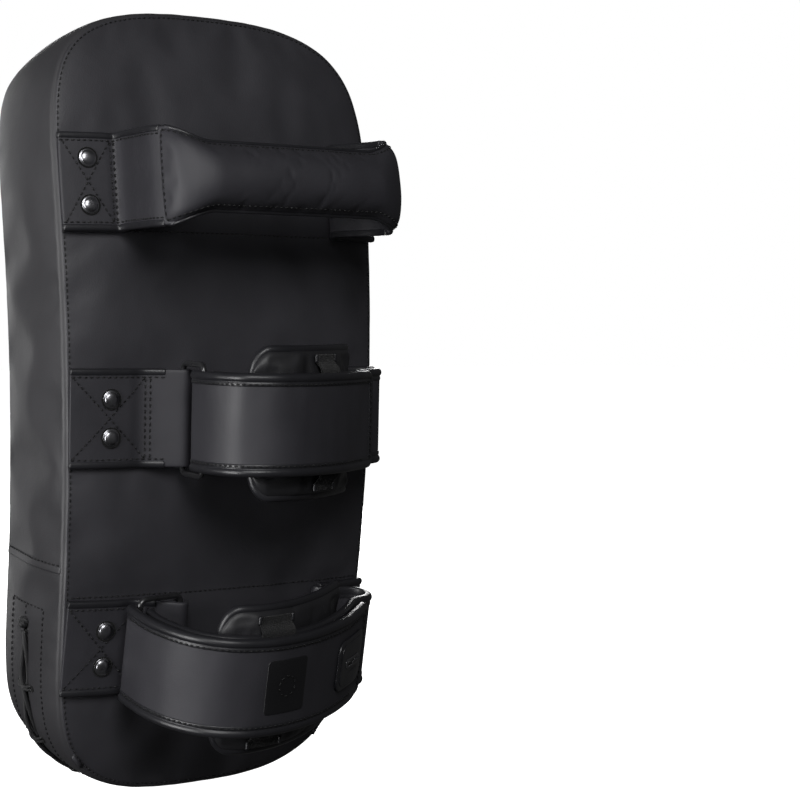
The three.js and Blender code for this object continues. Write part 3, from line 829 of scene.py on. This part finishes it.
def sew_cover():
    """The thread beside the seams, across the back and round the laced slot."""
    for face_place in (back_place, strike_place):
        run = []
        for k in range(361):
            edge, tangent = seam_line.at(k / 360)
            flat = edge + Vector((-tangent.y, tangent.x)) * SEAM_STITCH
            run.append(settle(*face_place(flat.x, flat.y)))
        stitch("pad", run)
    for along in PANEL_LINES:
        reach = half_width_at(along) - 4 * MM
        stitch("pad", [settle(*back_place(x, along)) for x in np.linspace(-reach, reach, 90)])
    slot = share_at(SLOT_TOP) - 10 * MM / seam_line.length
    for side in (1, -1):
        run = [settle(*wall_place(slot + (1 - 2 * slot) * k / 300, side * HEM_REACH)) for k in range(301)]
        stitch("pad", run)
        stitch("pad", [settle(*wall_place(slot if side > 0 else 1 - slot, b)) for b in span(HEM_REACH)])
        near = [slot + 10 * MM / seam_line.length * k / 12 for k in range(13)]
        stitch("pad", [settle(*wall_place(s if side > 0 else 1 - s, 0.0)) for s in near])
    seam = share_at(WALL_SEAM)
    for word, share in (("left", seam), ("right", 1 - seam)):
        wall_seam(word, share)


def span(reach, count=40):
    return [-reach + 2 * reach * k / count for k in range(count + 1)]


def wall_seam(word, share):
    """The upper wall's turned edge, laid over the lower wall."""
    profile = [(-2.6, -0.4), (-2.2, 0.35), (-1.0, 0.6), (0.6, 0.75), (1.3, 0.6), (1.6, 0.1), (1.6, -0.5)]
    down = 1 if word == "left" else -1
    vertices = []
    for behind in span(HALF_DEPTH - 1.6 * MM):
        for step, lift in profile:
            place, normal = settle(*wall_place(share + down * step * MM / seam_line.length, behind), lift=0)
            vertices.append(place + normal * (lift * 0.7 * MM))
    faces = tube_faces(41, len(profile))
    make_piece(f"wall_seam_{word}", (vertices, faces), wall_leather, "pad", levels=1)
    inner = share - down * 2.6 * MM / seam_line.length
    stitch("pad", [settle(*wall_place(inner, behind)) for behind in span(HALF_DEPTH - 2.5 * MM)])


# ---- Bands and edges ----

SLIM = STRAP / 2
HEM = [(-3.4, 0.02), (-3.0, 0.35), (-2.0, 0.62), (-0.9, 0.6), (-0.1, 0.2), (0.25, -0.6)]
PIPING = [
    (-6.2, 0.02), (-5.8, 0.42), (-5.0, 0.5), (-4.2, 0.42), (-3.8, 0.1), (-3.4, 0.45), (-2.7, 0.95), (-1.7, 1.1),
    (-0.7, 0.8), (0.0, 0.15), (0.4, -0.7),
]


def band(name, plan, start, end, half, thick, body, replaced=(), count=90, material=None, spread=None, sag=None):
    """A strap along its plan, as a swept rounded section."""
    section = rounded_section(thick / 2, half, thick * 0.42)
    vertices = []
    for k in range(count + 1):
        share = start + (end - start) * k / count
        for x, height in section:
            vertices.append(plan.place(share, x + (sag(share, height) if sag else 0.0), height)[0])
    shape = (vertices, tube_faces(count + 1, len(section)))
    return make_piece(
        name, shape, material or strap_leather, body, replaced, levels=1, spread=spread
    )


def edge_section(profile, thick, inner_proud=1.0):
    """Both sides of a folded edge, from its outer flange round to its inner one."""
    outer = [(out, thick / 2 + proud) for out, proud in profile]
    inner = [(out, -thick / 2 - proud * inner_proud) for out, proud in reversed(profile)]
    return outer + inner


def edging(name, plan, path, profile, thick, body, spread=None, inner_proud=1.0, sag=None, looped=False):
    """Folded leather along a path of (millimetres along, height), its fold to the left of the way it runs."""
    section = edge_section(profile, thick, inner_proud)
    vertices = []
    count = len(path)
    for k, (along, height) in enumerate(path):
        before = path[k - 1] if looped or k else path[0]
        after = path[(k + 1) % count] if looped or k < count - 1 else path[-1]
        way = Vector((after[0] - before[0], after[1] - before[1])).normalized()
        for out, depth in section:
            u, v = along - way.y * out, height + way.x * out
            share = u / plan.length
            vertices.append(plan.place(share, depth + (sag(share, v) if sag else 0.0), v)[0])
    shape = (vertices, tube_faces(count, len(section), looped=looped))
    return make_piece(name, shape, binding_leather, body, spread=spread, levels=1)


def inset_run(plan, path, inset, distance, sag=None):
    """A run beside a path, inset from it."""
    run = []
    for k, (along, height) in enumerate(path):
        before, after = path[max(0, k - 1)], path[min(len(path) - 1, k + 1)]
        way = Vector((after[0] - before[0], after[1] - before[1])).normalized()
        u, v = along + way.y * inset, height - way.x * inset
        lift = sag(u / plan.length, v) if sag else 0.0
        run.append(plan.place(u / plan.length, distance + lift, v))
    return run


def straight_path(start, end, height, count=70):
    return [(start + (end - start) * k / count, height) for k in range(count + 1)]


def tongue_path(start, end, half, radius, count=70):
    """Along the top edge, round the free end and back along the bottom edge."""
    path = straight_path(start, end - radius, half, count)
    for sign, turn in ((1, 90), (-1, 0)):
        for k in range(1, 8):
            angle = math.radians(turn - 90 * k / 8)
            path.append((end - radius + radius * math.cos(angle), sign * (half - radius) + radius * math.sin(angle)))
        if sign > 0:
            path += [(end, (half - radius) * (1 - 2 * k / 16)) for k in range(17)]
    return path + straight_path(end - radius, start, -half, count)


def hems(name, plan, start, end, half, thick, body, spread=None, stitched_edge=True):
    """Turned edges along both sides of a strap, between two shares."""
    low, high = sorted((start * plan.length, end * plan.length))
    for word, height, a, b in (("top", half, low, high), ("bottom", -half, high, low)):
        path = straight_path(a, b, height)
        edging(f"{name}_{word}", plan, path, HEM, thick, body, spread, inner_proud=0.4)
        if stitched_edge:
            stitch(body, inset_run(plan, path, 4.2, thick / 2 + 0.12))


def box_stitches(plan, outer, inner, half, distance):
    """A patch's two rows at its inner end, and a cross from corner to corner."""
    step = 2.7 / plan.length * (1 if inner > outer else -1)
    for share in (inner, inner - step):
        stitch("pad", plan.column(share, distance, -half, half))
    for sign in (1, -1):
        run = []
        for k in range(31):
            share = outer + (inner - step - outer) * k / 30
            run.append(plan.place(share, distance, sign * half * (2 * k / 30 - 1)))
        stitch("pad", run)


# ---- Cushions ----

PIPE = 2.3


def liner_half(share, start, length):
    """The height of a forearm cushion, round at its first end."""
    inside = max(0.0, LINER_CORNER - (share - start) * length)
    return LINER_HALF - LINER_CORNER + math.sqrt(max(0.0, LINER_CORNER**2 - inside**2))


def cushion(name, plan, start, end, face, thick, replaced):
    """A quilted forearm cushion. face is its outer side's distance from the line."""
    columns, rows = 48, 28
    vertices, held = [], []
    middle = face - thick / 2
    along = plan.length * (end - start)
    for side in (1, -1):
        for r in range(rows + 1):
            for c in range(columns + 1):
                u, v = c / columns, 2 * r / rows - 1
                share = start + (end - start) * u
                half = liner_half(max(share, start + 0.006), start, plan.length) - 2.2
                edge = min(1.0, min(u, 1 - u) * along / 12, (1 - abs(v)) * half / 12)
                crown = math.sqrt(max(0.0, 1 - (1 - edge) ** 2))
                depth = side * (0.9 + (thick / 2 - 0.9) * crown)
                vertices.append(plan.place(share, middle + depth, v * half)[0])
                held.append(1.0 if edge <= 0.04 else 0.0)
    piece = link(name, vertices, cushion_faces(columns, rows), [lining])
    puff(piece, held, 3.0, 0.03, 1.5 * MM, bending=1.0)
    subdivide(piece)
    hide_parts(*replaced)
    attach(piece, "pad")
    path = liner_path(plan, start, end)
    border = [plan.place(u / plan.length, middle, h)[0] for u, h in path]
    tubes(f"{name}_piping", [border], PIPE * MM, binding_leather, "pad", sides=10)
    for side in (1, -1):
        stitch("pad", inset_run(plan, path, 3.4, middle + side * 1.7))
    return piece


def liner_path(plan, start, end):
    """Round a cushion's edge: from its square end along the bottom, round the other end and back."""
    half = LINER_HALF - PIPE
    low, high = start * plan.length + PIPE, end * plan.length - PIPE
    radius = LINER_CORNER - PIPE
    path = straight_path(high, low + radius, -half, 40)
    for sign, turn in ((-1, 270), (1, 180)):
        for k in range(1, 12):
            angle = math.radians(turn - 90 * k / 12)
            path.append((low + radius + radius * math.cos(angle), sign * (half - radius) + radius * math.sin(angle)))
        if sign < 0:
            path += [(low, (half - radius) * (2 * k / 24 - 1)) for k in range(25)]
    path += straight_path(low + radius, high, half, 40)
    return path


# ---- Hardware ----

RIVET_PROFILE = [
    (0.02, 1.75), (1.2, 1.7), (2.3, 1.5), (3.1, 1.18), (3.55, 0.86), (3.7, 0.66), (4.05, 0.62), (4.5, 0.5),
    (4.7, 0.3), (4.7, 0.0), (2.0, -0.1), (2.0, -7.0), (4.6, -7.1), (4.6, -8.2), (0.02, -8.3),
]


def lathe(name, profile, matrix, material, body, replaced=(), sides=28):
    """Turns a profile of (radius, height) about local Y."""
    vertices = []
    for radius, height in profile:
        for k in range(sides):
            angle = 2 * math.pi * k / sides
            vertices.append(matrix @ Vector((radius * math.cos(angle), height, radius * math.sin(angle))))
    return make_piece(name, (vertices, tube_faces(len(profile), sides)), material, body, replaced)


def rivets(prefix, matrix, along, x, z):
    """Four domed rivets on their patch, each ringed at its foot by a near-black tube that paints the shade of a dent.
    """
    profile = [(r * MM, y * MM) for r, y in RIVET_PROFILE]
    painted_dent_shade = []
    for number, (across, height) in enumerate([(x, z), (x, -z), (-x, z), (-x, -z)], 1):
        rise = swell((across + 1) * MM, along) - swell((across - 1) * MM, along)
        surface = swell(across * MM, along) / MM + PATCH_GAP + STRAP
        turn = Matrix.Rotation(math.pi - math.atan(rise / (2 * MM)), 4, "Z")
        local = matrix @ Matrix.Translation(Vector((across, -surface, height)) * MM) @ turn
        lathe(
            f"rivet_{prefix}_{number}", profile, local, gunmetal, "pad", (f"{prefix}_rivet_{number}",)
        )
        # A near-black ring just outside the rivet's rim: painted shade of a dent in the leather.
        painted_dent_shade.append([local @ (Vector((math.cos(a), 0.05, math.sin(a))) * 5.0 * MM) for a in span(math.pi)[1:]])
    tubes(f"rivet_{prefix}_dents", painted_dent_shade, 0.4 * MM, painted_hole_shade, "pad", looped=True, sides=6)


def wire_ring(prefix, plan, matrix, body):
    """A rectangular wire ring round the eye of its tab and the fold of its strap."""
    (ex, eo), (bx, bo) = plan["eye"], plan["bar"]
    half_w = Vector((bx - ex, bo - eo)).length / 2
    half_h, corner = STRAP_HALF + 1.6 + WIRE / 2, 3.8
    reach = Vector((bx - ex, -(bo - eo), 0)).normalized()
    centre = Vector(((ex + bx) / 2, -(eo + bo) / 2, 0))
    outline = []
    for sx, sy, start in ((1, 1, 0), (-1, 1, 90), (-1, -1, 180), (1, -1, 270)):
        for k in range(9):
            angle = math.radians(start + 90 * k / 8)
            x = sx * (half_w - corner) + corner * math.cos(angle)
            y = sy * (half_h - corner) + corner * math.sin(angle)
            outline.append(matrix @ ((centre + reach * x + Vector((0, 0, y))) * MM))
    tubes(
        f"{prefix}_wire_ring", [even_path(outline, 180)], WIRE / 2 * MM, black_wire, body,
        (f"{prefix}_ring",), looped=True, sides=14,
    )


# ---- Arm straps ----


def tab(prefix, plan, matrix):
    """The patch at the left seam and its eye round the ring's inner bar."""
    along = plan["along"]
    edge = 0.8 - half_width_at(along) / MM
    ex, eo = plan["eye"]
    flat = on_panel(along, [edge, -88, -80, -64, TAB_INNER - 9])
    eye = []
    for degrees in range(120, -201, -20):
        angle = math.radians(degrees)
        eye.append((ex + 3.3 * math.cos(angle), eo + 3.3 * math.sin(angle)))
    path = Plan(matrix, Line([*flat, *eye]))
    patch = Line(flat).length / path.length
    band(f"{prefix}_tab_leather", path, 0.0, 1.0, STRAP_HALF, 2.6, "pad", (f"{prefix}_tab",), count=110)
    hems(f"{prefix}_tab_hem", path, 0.0, patch * 1.3, STRAP_HALF, 2.6, "pad")
    box_stitches(path, 0.012, patch * 1.1, STRAP_HALF - 4.2, 1.42)


def flap_line(plan):
    bx, bo = plan["bar"]
    arc = []
    for degrees in (0, 45, 90, 135, 180):
        angle = math.radians(-degrees)
        arc.append((bx + TURN * math.cos(angle), bo + TURN * math.sin(angle)))
    return Line([*arc, *offset(plan["touch"], (CLOSE_GAP + STRAP) / 2)])


def strap_line(plan):
    along = plan["along"]
    edge = half_width_at(along) / MM - 0.8
    bx, bo = plan["bar"]
    return Line([
        (bx + TURN + 0.3, bo + 1.8),
        *offset(plan["touch"], -(CLOSE_GAP + STRAP) / 2),
        *STRAP_ROOT,
        *on_panel(along, [PATCH_INNER, 68, 80, 88, edge]),
    ])


def crease(share, height):
    """The slight unevenness of soft leather."""
    return 0.45 * noise.noise(Vector((share * 14, height * 0.035, 3)))


def arm_strap(prefix, plan):
    along = plan["along"]
    matrix = back_frame(along)
    flap_body, ring_body = f"{prefix}_flap_body", f"{prefix}_ring_body"
    tab(prefix, plan, matrix)
    wire_ring(prefix, plan, matrix, ring_body)
    rivets(prefix, matrix, along, *plan["rivets"])
    strap, flap = Plan(matrix, strap_line(plan)), Plan(matrix, flap_line(plan))
    touch = Plan(matrix, Line(plan["touch"]))
    root = Line(on_panel(along, [PATCH_INNER, 68, 80, 88, half_width_at(along) / MM - 0.8]))
    patch = 1 - root.length / strap.length

    loose, fixed = [matrix @ (Vector((x, 0, 0)) * MM) for x in plan["give"]]
    to_ring = (ring_body, fixed, loose)
    band(
        f"{prefix}_strap_leather", strap, 0.0, 1.0, STRAP_HALF - 0.4, STRAP, "pad", (f"{prefix}_strap",),
        count=150, spread=to_ring,
    )
    hems(f"{prefix}_strap_hem", strap, patch + 0.005, 1.0, STRAP_HALF, STRAP, "pad")
    box_stitches(strap, 0.988, patch + 0.02, STRAP_HALF - 4.2, SLIM + 0.12)
    for word, ends, height in (("top", (0.012, patch - 0.01), 1), ("bottom", (patch - 0.01, 0.012), -1)):
        path = straight_path(*[share * strap.length for share in ends], height * STRAP_HALF)
        edging(f"{prefix}_strap_piping_{word}", strap, path, PIPING, STRAP, "pad", to_ring, inner_proud=0.3)

    fold_end = math.pi * TURN / flap.length
    hinge = [matrix @ (Vector((plan["bar"][0], -out, 0)) * MM) for out in plan["turn"]]
    to_flap = (flap_body, *hinge)
    band(
        f"{prefix}_flap_leather", flap, 0.0, plan["end"] - 2 / flap.length, STRAP_HALF - 0.5, STRAP, ring_body,
        (f"{prefix}_fold", f"{prefix}_flap"), count=130, spread=to_flap, sag=crease,
    )
    path = tongue_path(0.6 * fold_end * flap.length, plan["end"] * flap.length, STRAP_HALF, 5.5)
    edging(
        f"{prefix}_flap_piping", flap, path, PIPING, STRAP, ring_body, to_flap, inner_proud=0.3, sag=crease
    )
    for way, ends in (("top", path[3:70]), ("end", path[76:101]), ("bottom", path[108:-3])):
        stitch(flap_body, inset_run(flap, ends, 5.0, SLIM + 0.55, sag=crease))
    face = -CLOSE_GAP / 2 - STRAP - 0.5
    cushion(f"{prefix}_cushion", touch, *plan["liner"], face, LINER, (f"{prefix}_liner",))
    keeper(prefix, plan, touch, face)
    return flap


def keeper(prefix, plan, touch, face):
    """The fuzzy band that wraps the strap and lies on the cushion above and below it."""
    start, end = plan["keeper"]
    rows, columns = 44, 22
    vertices = []
    for layer in (0, 1):
        for r in range(rows + 1):
            height = 34.5 * (2 * r / rows - 1)
            over = min(1.0, max(0.0, (31 - abs(height)) / 4.5))
            over = over * over * (3 - 2 * over)
            base = (face + 0.75) * (1 - over) + (-CLOSE_GAP / 2 + 0.5) * over
            for c in range(columns + 1):
                share = start + (end - start) * c / columns
                fuzz = 0.2 * noise.noise(Vector((c * 0.9, r * 0.9, 2))) if layer else 0.0
                vertices.append(touch.place(share, base + layer * 0.8 + fuzz, height)[0])
    make_piece(
        f"{prefix}_keeper_band", (vertices, cushion_faces(columns, rows)), tape_cloth, "pad",
        (f"{prefix}_keeper",), levels=1,
    )
    sides = []
    for share in (start, end):
        for sign in (1, -1):
            sides.append([touch.place(share, face + 1.5, sign * h)[0] for h in np.linspace(30.5, 34.5, 6)])
    tubes(f"{prefix}_keeper_edges", sides, 0.9 * MM, binding_leather, "pad", sides=8)


# ---- Badge and label on the lower flap ----


def plate(name, plan, shares, half, radius, base, thick, material, body, replaced=(), edge=0.6):
    """A thin rounded plate that follows the flap."""
    length = (shares[1] - shares[0]) * plan.length
    middle = (shares[0] + shares[1]) / 2 * plan.length
    rings = []
    for inset, rise in ((0.0, 0.0), (0.0, 0.55), (edge * 0.4, 0.9), (edge, 1.0), (edge + 1.2, 1.0), (half * 0.55, 1.0)):
        half_x, half_y = length / 2 - inset, half - inset
        corner = max(0.8, min(radius - inset, half_x, half_y))
        section = rounded_section(half_x, half_y, corner, corner=6, flat=10)
        rings.append([(middle + x, y, base + thick * rise) for x, y in section])
    vertices = []
    for section in rings:
        for along, height, out in section:
            share = along / plan.length
            vertices.append(plan.place(share, out + crease(share, height), height)[0])
    shape = (vertices, tube_faces(len(rings), len(rings[0])))
    return make_piece(name, shape, material, body, replaced)


def badge(flap):
    """A rounded rubber badge with a plain raised bar, and a tonal square label."""
    body = "lower_flap_body"
    low = SLIM + 0.35
    plate("badge_base", flap, (0.77, 0.955), 13.5, 6.5, low, 1.2, badge_rubber, body, ("lower_badge",))
    plate("badge_rim", flap, (0.785, 0.94), 11.2, 5.0, low + 1.1, 0.5, badge_rubber, body)
    plate("badge_bar", flap, (0.815, 0.91), 2.6, 2.4, low + 1.5, 0.5, badge_face, body)
    plate("label", flap, (0.5, 0.625), 14, 2.0, SLIM + 0.05, 0.35, print_ink, body, edge=0.3)
    path = []
    for k in range(60):
        angle = 2 * math.pi * k / 60
        path.append((0.5625 * flap.length + 5.2 * math.cos(angle), 5.2 * math.sin(angle)))
    stitch(body, flap.trace([*path, path[0]], SLIM + 0.5))


# ---- Handle ----

GRIP_TAPER = 26


def handle_line():
    edge = half_width_at(HANDLE_AT) / MM - 0.8
    left = [
        *on_panel(HANDLE_AT, [-edge, -88, -80, -72, GRIP_PATCH - 0.5]),
        (GRIP_PATCH + 1.5, 12),
        (GRIP_PATCH - 0.5, 30),
        (-GRIP_HALF + 0.5, 50),
        (-GRIP_HALF + 7, GRIP_OUT + 1),
        (-GRIP_HALF / 2, GRIP_OUT + GRIP_ARCH * 0.8),
    ]
    right = [(-x, out) for x, out in reversed(left)]
    return Line([*left, (0, GRIP_OUT + GRIP_ARCH), *right])


def make_handle():
    matrix = back_frame(HANDLE_AT)
    plan = Plan(matrix, handle_line(), DROOP)
    edge = half_width_at(HANDLE_AT) / MM - 0.8
    patch = Line(on_panel(HANDLE_AT, [-edge, -88, -80, -72, GRIP_PATCH])).length / plan.length
    rivets("handle", matrix, HANDLE_AT, *HANDLE_RIVETS)
    for word, near in (("left", lambda share: share), ("right", lambda share: 1 - share)):
        replaced = ("handle_strap",) if word == "left" else ()
        ends = sorted((near(0.0), near(GRIP_SPAN + 0.02)))
        band(f"handle_strap_{word}", plan, *ends, STRAP_HALF - 0.4, STRAP, "pad", replaced, count=70)
        hems(f"handle_hem_{word}", plan, near(0.0), near(GRIP_SPAN), STRAP_HALF, STRAP, "pad")
        box_stitches(plan, near(0.006), near(patch * 0.97), STRAP_HALF - 4.2, SLIM + 0.12)
    grip(plan)


def grip(plan):
    """The padded roll sewn round the handle's strap, flat where it is sewn at its ends."""
    sides, steps = 44, 110
    start, end = GRIP_SPAN, 1 - GRIP_SPAN
    length = (end - start) * plan.length
    vertices, held = [], []
    for k in range(steps + 1):
        t = k / steps
        near = min(t, 1 - t) * length
        rise = min(1.0, near / GRIP_TAPER)
        rise = rise * rise * (3 - 2 * rise)
        puffed = min(1.0, near / 9) ** 0.5
        tall = STRAP_HALF - 0.8 - (STRAP_HALF - 0.8 - GRIP_MIDDLE[0]) * rise
        deep = 2.2 + (GRIP_END[1] - 2.2) * puffed + (GRIP_MIDDLE[1] - 0.8 - GRIP_END[1]) * rise
        boxy = 0.4 + 0.6 * rise
        for s in range(sides):
            angle = 2 * math.pi * s / sides
            up, out = math.sin(angle), math.cos(angle)
            out = math.copysign(abs(out) ** boxy, out)
            pinch = 1 - 0.62 * abs(up) ** 14
            fold = 0.5 * noise.noise(Vector((near * 0.12, s * 0.33, 8))) * (1 - rise) * puffed
            place, _ = plan.place(start + (end - start) * t, (deep + fold) * out * pinch, tall * up)
            vertices.append(place)
            held.append(1.0 if k < 2 or k > steps - 2 or abs(up) > 0.985 else 0.0)
    piece = link("grip_leather", vertices, tube_faces(steps + 1, sides), [strap_leather])
    puff(piece, held, 4.0, 0.006, 1.4 * MM, bending=6.0)
    subdivide(piece)
    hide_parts("grip_cover")
    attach(piece, "pad")
    tree = BVHTree.FromObject(piece, bpy.context.evaluated_depsgraph_get())

    def laid(place, normal):
        hit, _, _, _ = tree.ray_cast(place + normal * 20 * MM, -normal, 40 * MM)
        return ((hit if hit else place) + normal * 0.1 * MM, normal)

    low, high = start * plan.length + 2, end * plan.length - 2
    for sign, name in ((1, "top"), (-1, "bottom")):
        ridge, run = [], []
        for k in range(91):
            along = low + (high - low) * k / 90
            near = min(along - low + 2, high + 2 - along)
            rise = min(1.0, near / GRIP_TAPER)
            rise = rise * rise * (3 - 2 * rise)
            tall = STRAP_HALF - 0.8 - (STRAP_HALF - 0.8 - GRIP_MIDDLE[0]) * rise
            ridge.append(plan.place(along / plan.length, 0.4, sign * (tall + 0.1))[0])
            run.append(laid(*plan.place(along / plan.length, 0.0, sign * (tall - 1.9))))
        tubes(f"grip_seam_{name}", [ridge], 1.0 * MM, binding_leather, "pad", sides=8)
        stitch("pad", run)
    for share in (start + 2.2 / plan.length, end - 2.2 / plan.length):
        stitch("pad", [laid(*plan.place(share, 0.0, h)) for h in np.linspace(-23.5, 23.5, 30)])


# ---- Lacing ----

LACE = 2.2
LACE_PITCH = 31 * MM
LACE_SPREAD = 2.6
KNOT = 3.4
HOLE_REACH = 6.5 * MM


def lacing():
    """Two strands along the slot that cross at each pair of holes, and a knot at both ends."""
    slot = share_at(SLOT_TOP)
    length = (1 - 2 * slot) * seam_line.length
    crossings = round(length / LACE_PITCH)
    first = slot + (KNOT + 1.2) * MM / seam_line.length
    for number, side in ((1, 1), (2, -1)):
        points = []
        for k in range(601):
            t = k / 600
            phase = math.pi * crossings * t
            swing = math.sin(phase)
            behind = side * LACE_SPREAD * math.copysign(abs(swing) ** 0.6, swing) * MM
            over = side * math.cos(phase) * (LACE + 0.3) / 2 * MM
            lift = 1.15 * MM + over
            points.append(wall_place(first + t * (1 - 2 * first), behind, lift)[0])
        tubes(
            f"lace_{number}", [points], LACE / 2 * MM, cord_cloth, "pad", (f"lace_strand_{number}",), sides=9
        )
    ties, holes = [], []
    for k in range(1, crossings):
        share = first + (1 - 2 * first) * k / crossings
        for slant in (-1, 1):
            tie = []
            for step in range(15):
                t = 2 * step / 14 - 1
                rise = math.sqrt(max(0.0, 1 - abs(t) ** 2.5))
                shift = slant * 1.3 * t * MM / seam_line.length
                tie.append(wall_place(share + shift, HOLE_REACH * t, (rise * 4.2 - 1.3) * MM)[0])
            ties.append(tie)
        # A near-black ring on the wall at each lace hole: painted shade inside the hole.
        for sign in (-1, 1):
            centre, normal = settle(*wall_place(share, sign * HOLE_REACH))
            side = normal.orthogonal().normalized()
            up = normal.cross(side)
            holes.append([centre + (side * math.cos(a) + up * math.sin(a)) * 1.5 * MM for a in span(math.pi)[1:]])
    tubes("lace_ties", ties, LACE / 2 * 0.8 * MM, cord_cloth, "pad", sides=8)
    tubes("lace_hole_shade", holes, 0.45 * MM, painted_hole_shade, "pad", looped=True, sides=6)
    for word, share in (("left", slot), ("right", 1 - slot)):
        knot(word, wall_place(share, 0.0, 2.4 * MM))


def knot(word, spot):
    """A round knot: one cord wound into a ball."""
    centre, normal = spot
    side = normal.orthogonal().normalized()
    up = normal.cross(side)
    loops = []
    for k in range(240):
        a = 2 * math.pi * k / 240
        reach = (1.35 + 0.9 * math.cos(5 * a)) * MM
        flat = side * math.cos(3 * a) + up * math.sin(3 * a)
        loops.append(centre + flat * reach + normal * (1.5 * math.sin(5 * a) * MM))
    tubes(f"knot_{word}", [loops], 1.05 * MM, cord_cloth, "pad", (f"lace_knot_{word}",), looped=True, sides=9)


# ---- Print on the strike face ----

# Each band: points (across, along) down its middle, in millimetres, and its half width at each end.
PRINTS = {
    "sweep": ([(-62, -60), (-20, -20), (18, 40), (30, 110), (34, 168)], (15, 9)),
    "sash": ([(70, -34), (30, -86), (-14, -120), (-52, -132)], (10, 13)),
    "line": ([(74, -58), (38, -106), (-6, -142), (-44, -156)], (2.6, 2.6)),
}


def print_band(name, points, halves):
    """A flat tonal print, a film that lies on the strike panel."""
    line = Line(points)
    rows, columns = 90, 12
    vertices = []
    for layer in (0.05 * MM, 0.22 * MM):
        for r in range(rows + 1):
            point, tangent = line.at(r / rows)
            half = halves[0] + (halves[1] - halves[0]) * r / rows
            ends = min(1.0, (min(r, rows - r) / rows) * line.length / half)
            half *= 0.55 + 0.45 * math.sqrt(max(0.0, 1 - (1 - ends) ** 2))
            for c in range(columns + 1):
                reach = half * (2 * c / columns - 1)
                across, along = point.x - tangent.y * reach, point.y + tangent.x * reach
                vertices.append(settle(*strike_place(across * MM, along * MM), lift=layer)[0])
    make_piece(f"print_{name}", (vertices, cushion_faces(columns, rows)), print_ink, "pad")


# ---- Camera, light and floor ----


def set_camera():
    """Turned so that the shield stands in the left half of the picture."""
    yaw, pitch, roll = math.radians(-32.11), math.radians(2.74), math.radians(0.59)
    distance, focal = 1.1499, 2130.2
    target = Vector((0, ARM_DEPTH, LIFT))
    back = Vector((math.sin(yaw) * math.cos(pitch), -math.cos(yaw) * math.cos(pitch), math.sin(pitch)))
    right = Vector((math.cos(yaw), math.sin(yaw), 0))
    up = back.cross(right)
    right, up = (
        right * math.cos(roll) + up * math.sin(roll),
        up * math.cos(roll) - right * math.sin(roll),
    )
    turn = math.atan((400 - 194.8) / focal)
    tip = math.atan((402.4 - 400) / focal)
    view = Matrix((right, up, back)).transposed()
    view = view @ Matrix.Rotation(-turn, 3, "Y") @ Matrix.Rotation(tip, 3, "X")
    data = bpy.data.cameras.new("camera")
    data.sensor_width = 36
    data.lens = focal / 800 * 36
    data.clip_start, data.clip_end = 0.05, 60
    camera = bpy.data.objects.new("camera", data)
    camera.matrix_world = Matrix.Translation(target + back * distance) @ view.to_4x4()
    bpy.context.scene.collection.objects.link(camera)
    bpy.context.scene.camera = camera


AMBIENT = 0.045


def set_stage():
    """A white surround that lights the shield only faintly, a pale floor and soft lamps."""
    scene = bpy.context.scene
    scene.view_settings.view_transform = "Standard"
    world = bpy.data.worlds.new("studio")
    world.use_nodes = True
    tree = world.node_tree
    ray = tree.nodes.new("ShaderNodeLightPath")
    mix = tree.nodes.new("ShaderNodeMixShader")
    seen = tree.nodes.new("ShaderNodeBackground")
    seen.inputs["Color"].default_value = (1, 1, 1, 1)
    dim = tree.nodes["Background"]
    dim.inputs["Color"].default_value = (1, 1, 1, 1)
    dim.inputs["Strength"].default_value = AMBIENT
    tree.links.new(ray.outputs["Is Camera Ray"], mix.inputs["Fac"])
    tree.links.new(dim.outputs["Background"], mix.inputs[1])
    tree.links.new(seen.outputs["Background"], mix.inputs[2])
    tree.links.new(mix.outputs["Shader"], tree.nodes["World Output"].inputs["Surface"])
    scene.world = world
    floor_z = cad_low.z - 3 * MM
    paper = Shader("floor_paper", (0.9, 0.9, 0.9), 0.9, Emission_Color=(1, 1, 1, 1), Emission_Strength=1.05)
    corners = [(x, y, floor_z) for x in (-6, 6) for y in (-6, 6)]
    floor = link("floor", corners, [(0, 1, 3, 2)], [paper.vary(3, 0.01, 0.02).done()])
    floor.visible_diffuse = False
    floor.visible_glossy = False

    def lamp(name, place, power, size):
        data = bpy.data.lights.new(name, "AREA")
        data.energy = power
        data.size = size
        made = bpy.data.objects.new(name, data)
        made.location = place
        aim = Vector((0, ARM_DEPTH, 0)) - Vector(place)
        made.rotation_euler = aim.to_track_quat("-Z", "Y").to_euler()
        scene.collection.objects.link(made)

    lamp("key", (-1.7, -0.16, -0.15), 58, 1.2)
    lamp("front", (-0.8, -1.4, 0.95), 26, 0.8)
    lamp("strike_key", (0.8, 1.4, 0.2), 20, 0.8)
    lamp("strike_front", (-0.1, 1.8, 0.1), 7, 1.0)


# ---- Build ----

set_camera()
make_cover()
make_handle()
for prefix, plan in (("middle", MIDDLE), ("lower", LOWER)):
    lower_flap = arm_strap(prefix, plan)
badge(lower_flap)
lacing()
for name, (points, halves) in PRINTS.items():
    print_band(name, points, halves)
finish_stitches()
node_looks = {"foam": foam, "board": foam, "placket": lining, "tape": tape_cloth}
for name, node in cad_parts.items():
    look = next((made for word, made in node_looks.items() if word in name), strap_leather)
    node.data.materials.clear()
    node.data.materials.append(look)
set_stage()
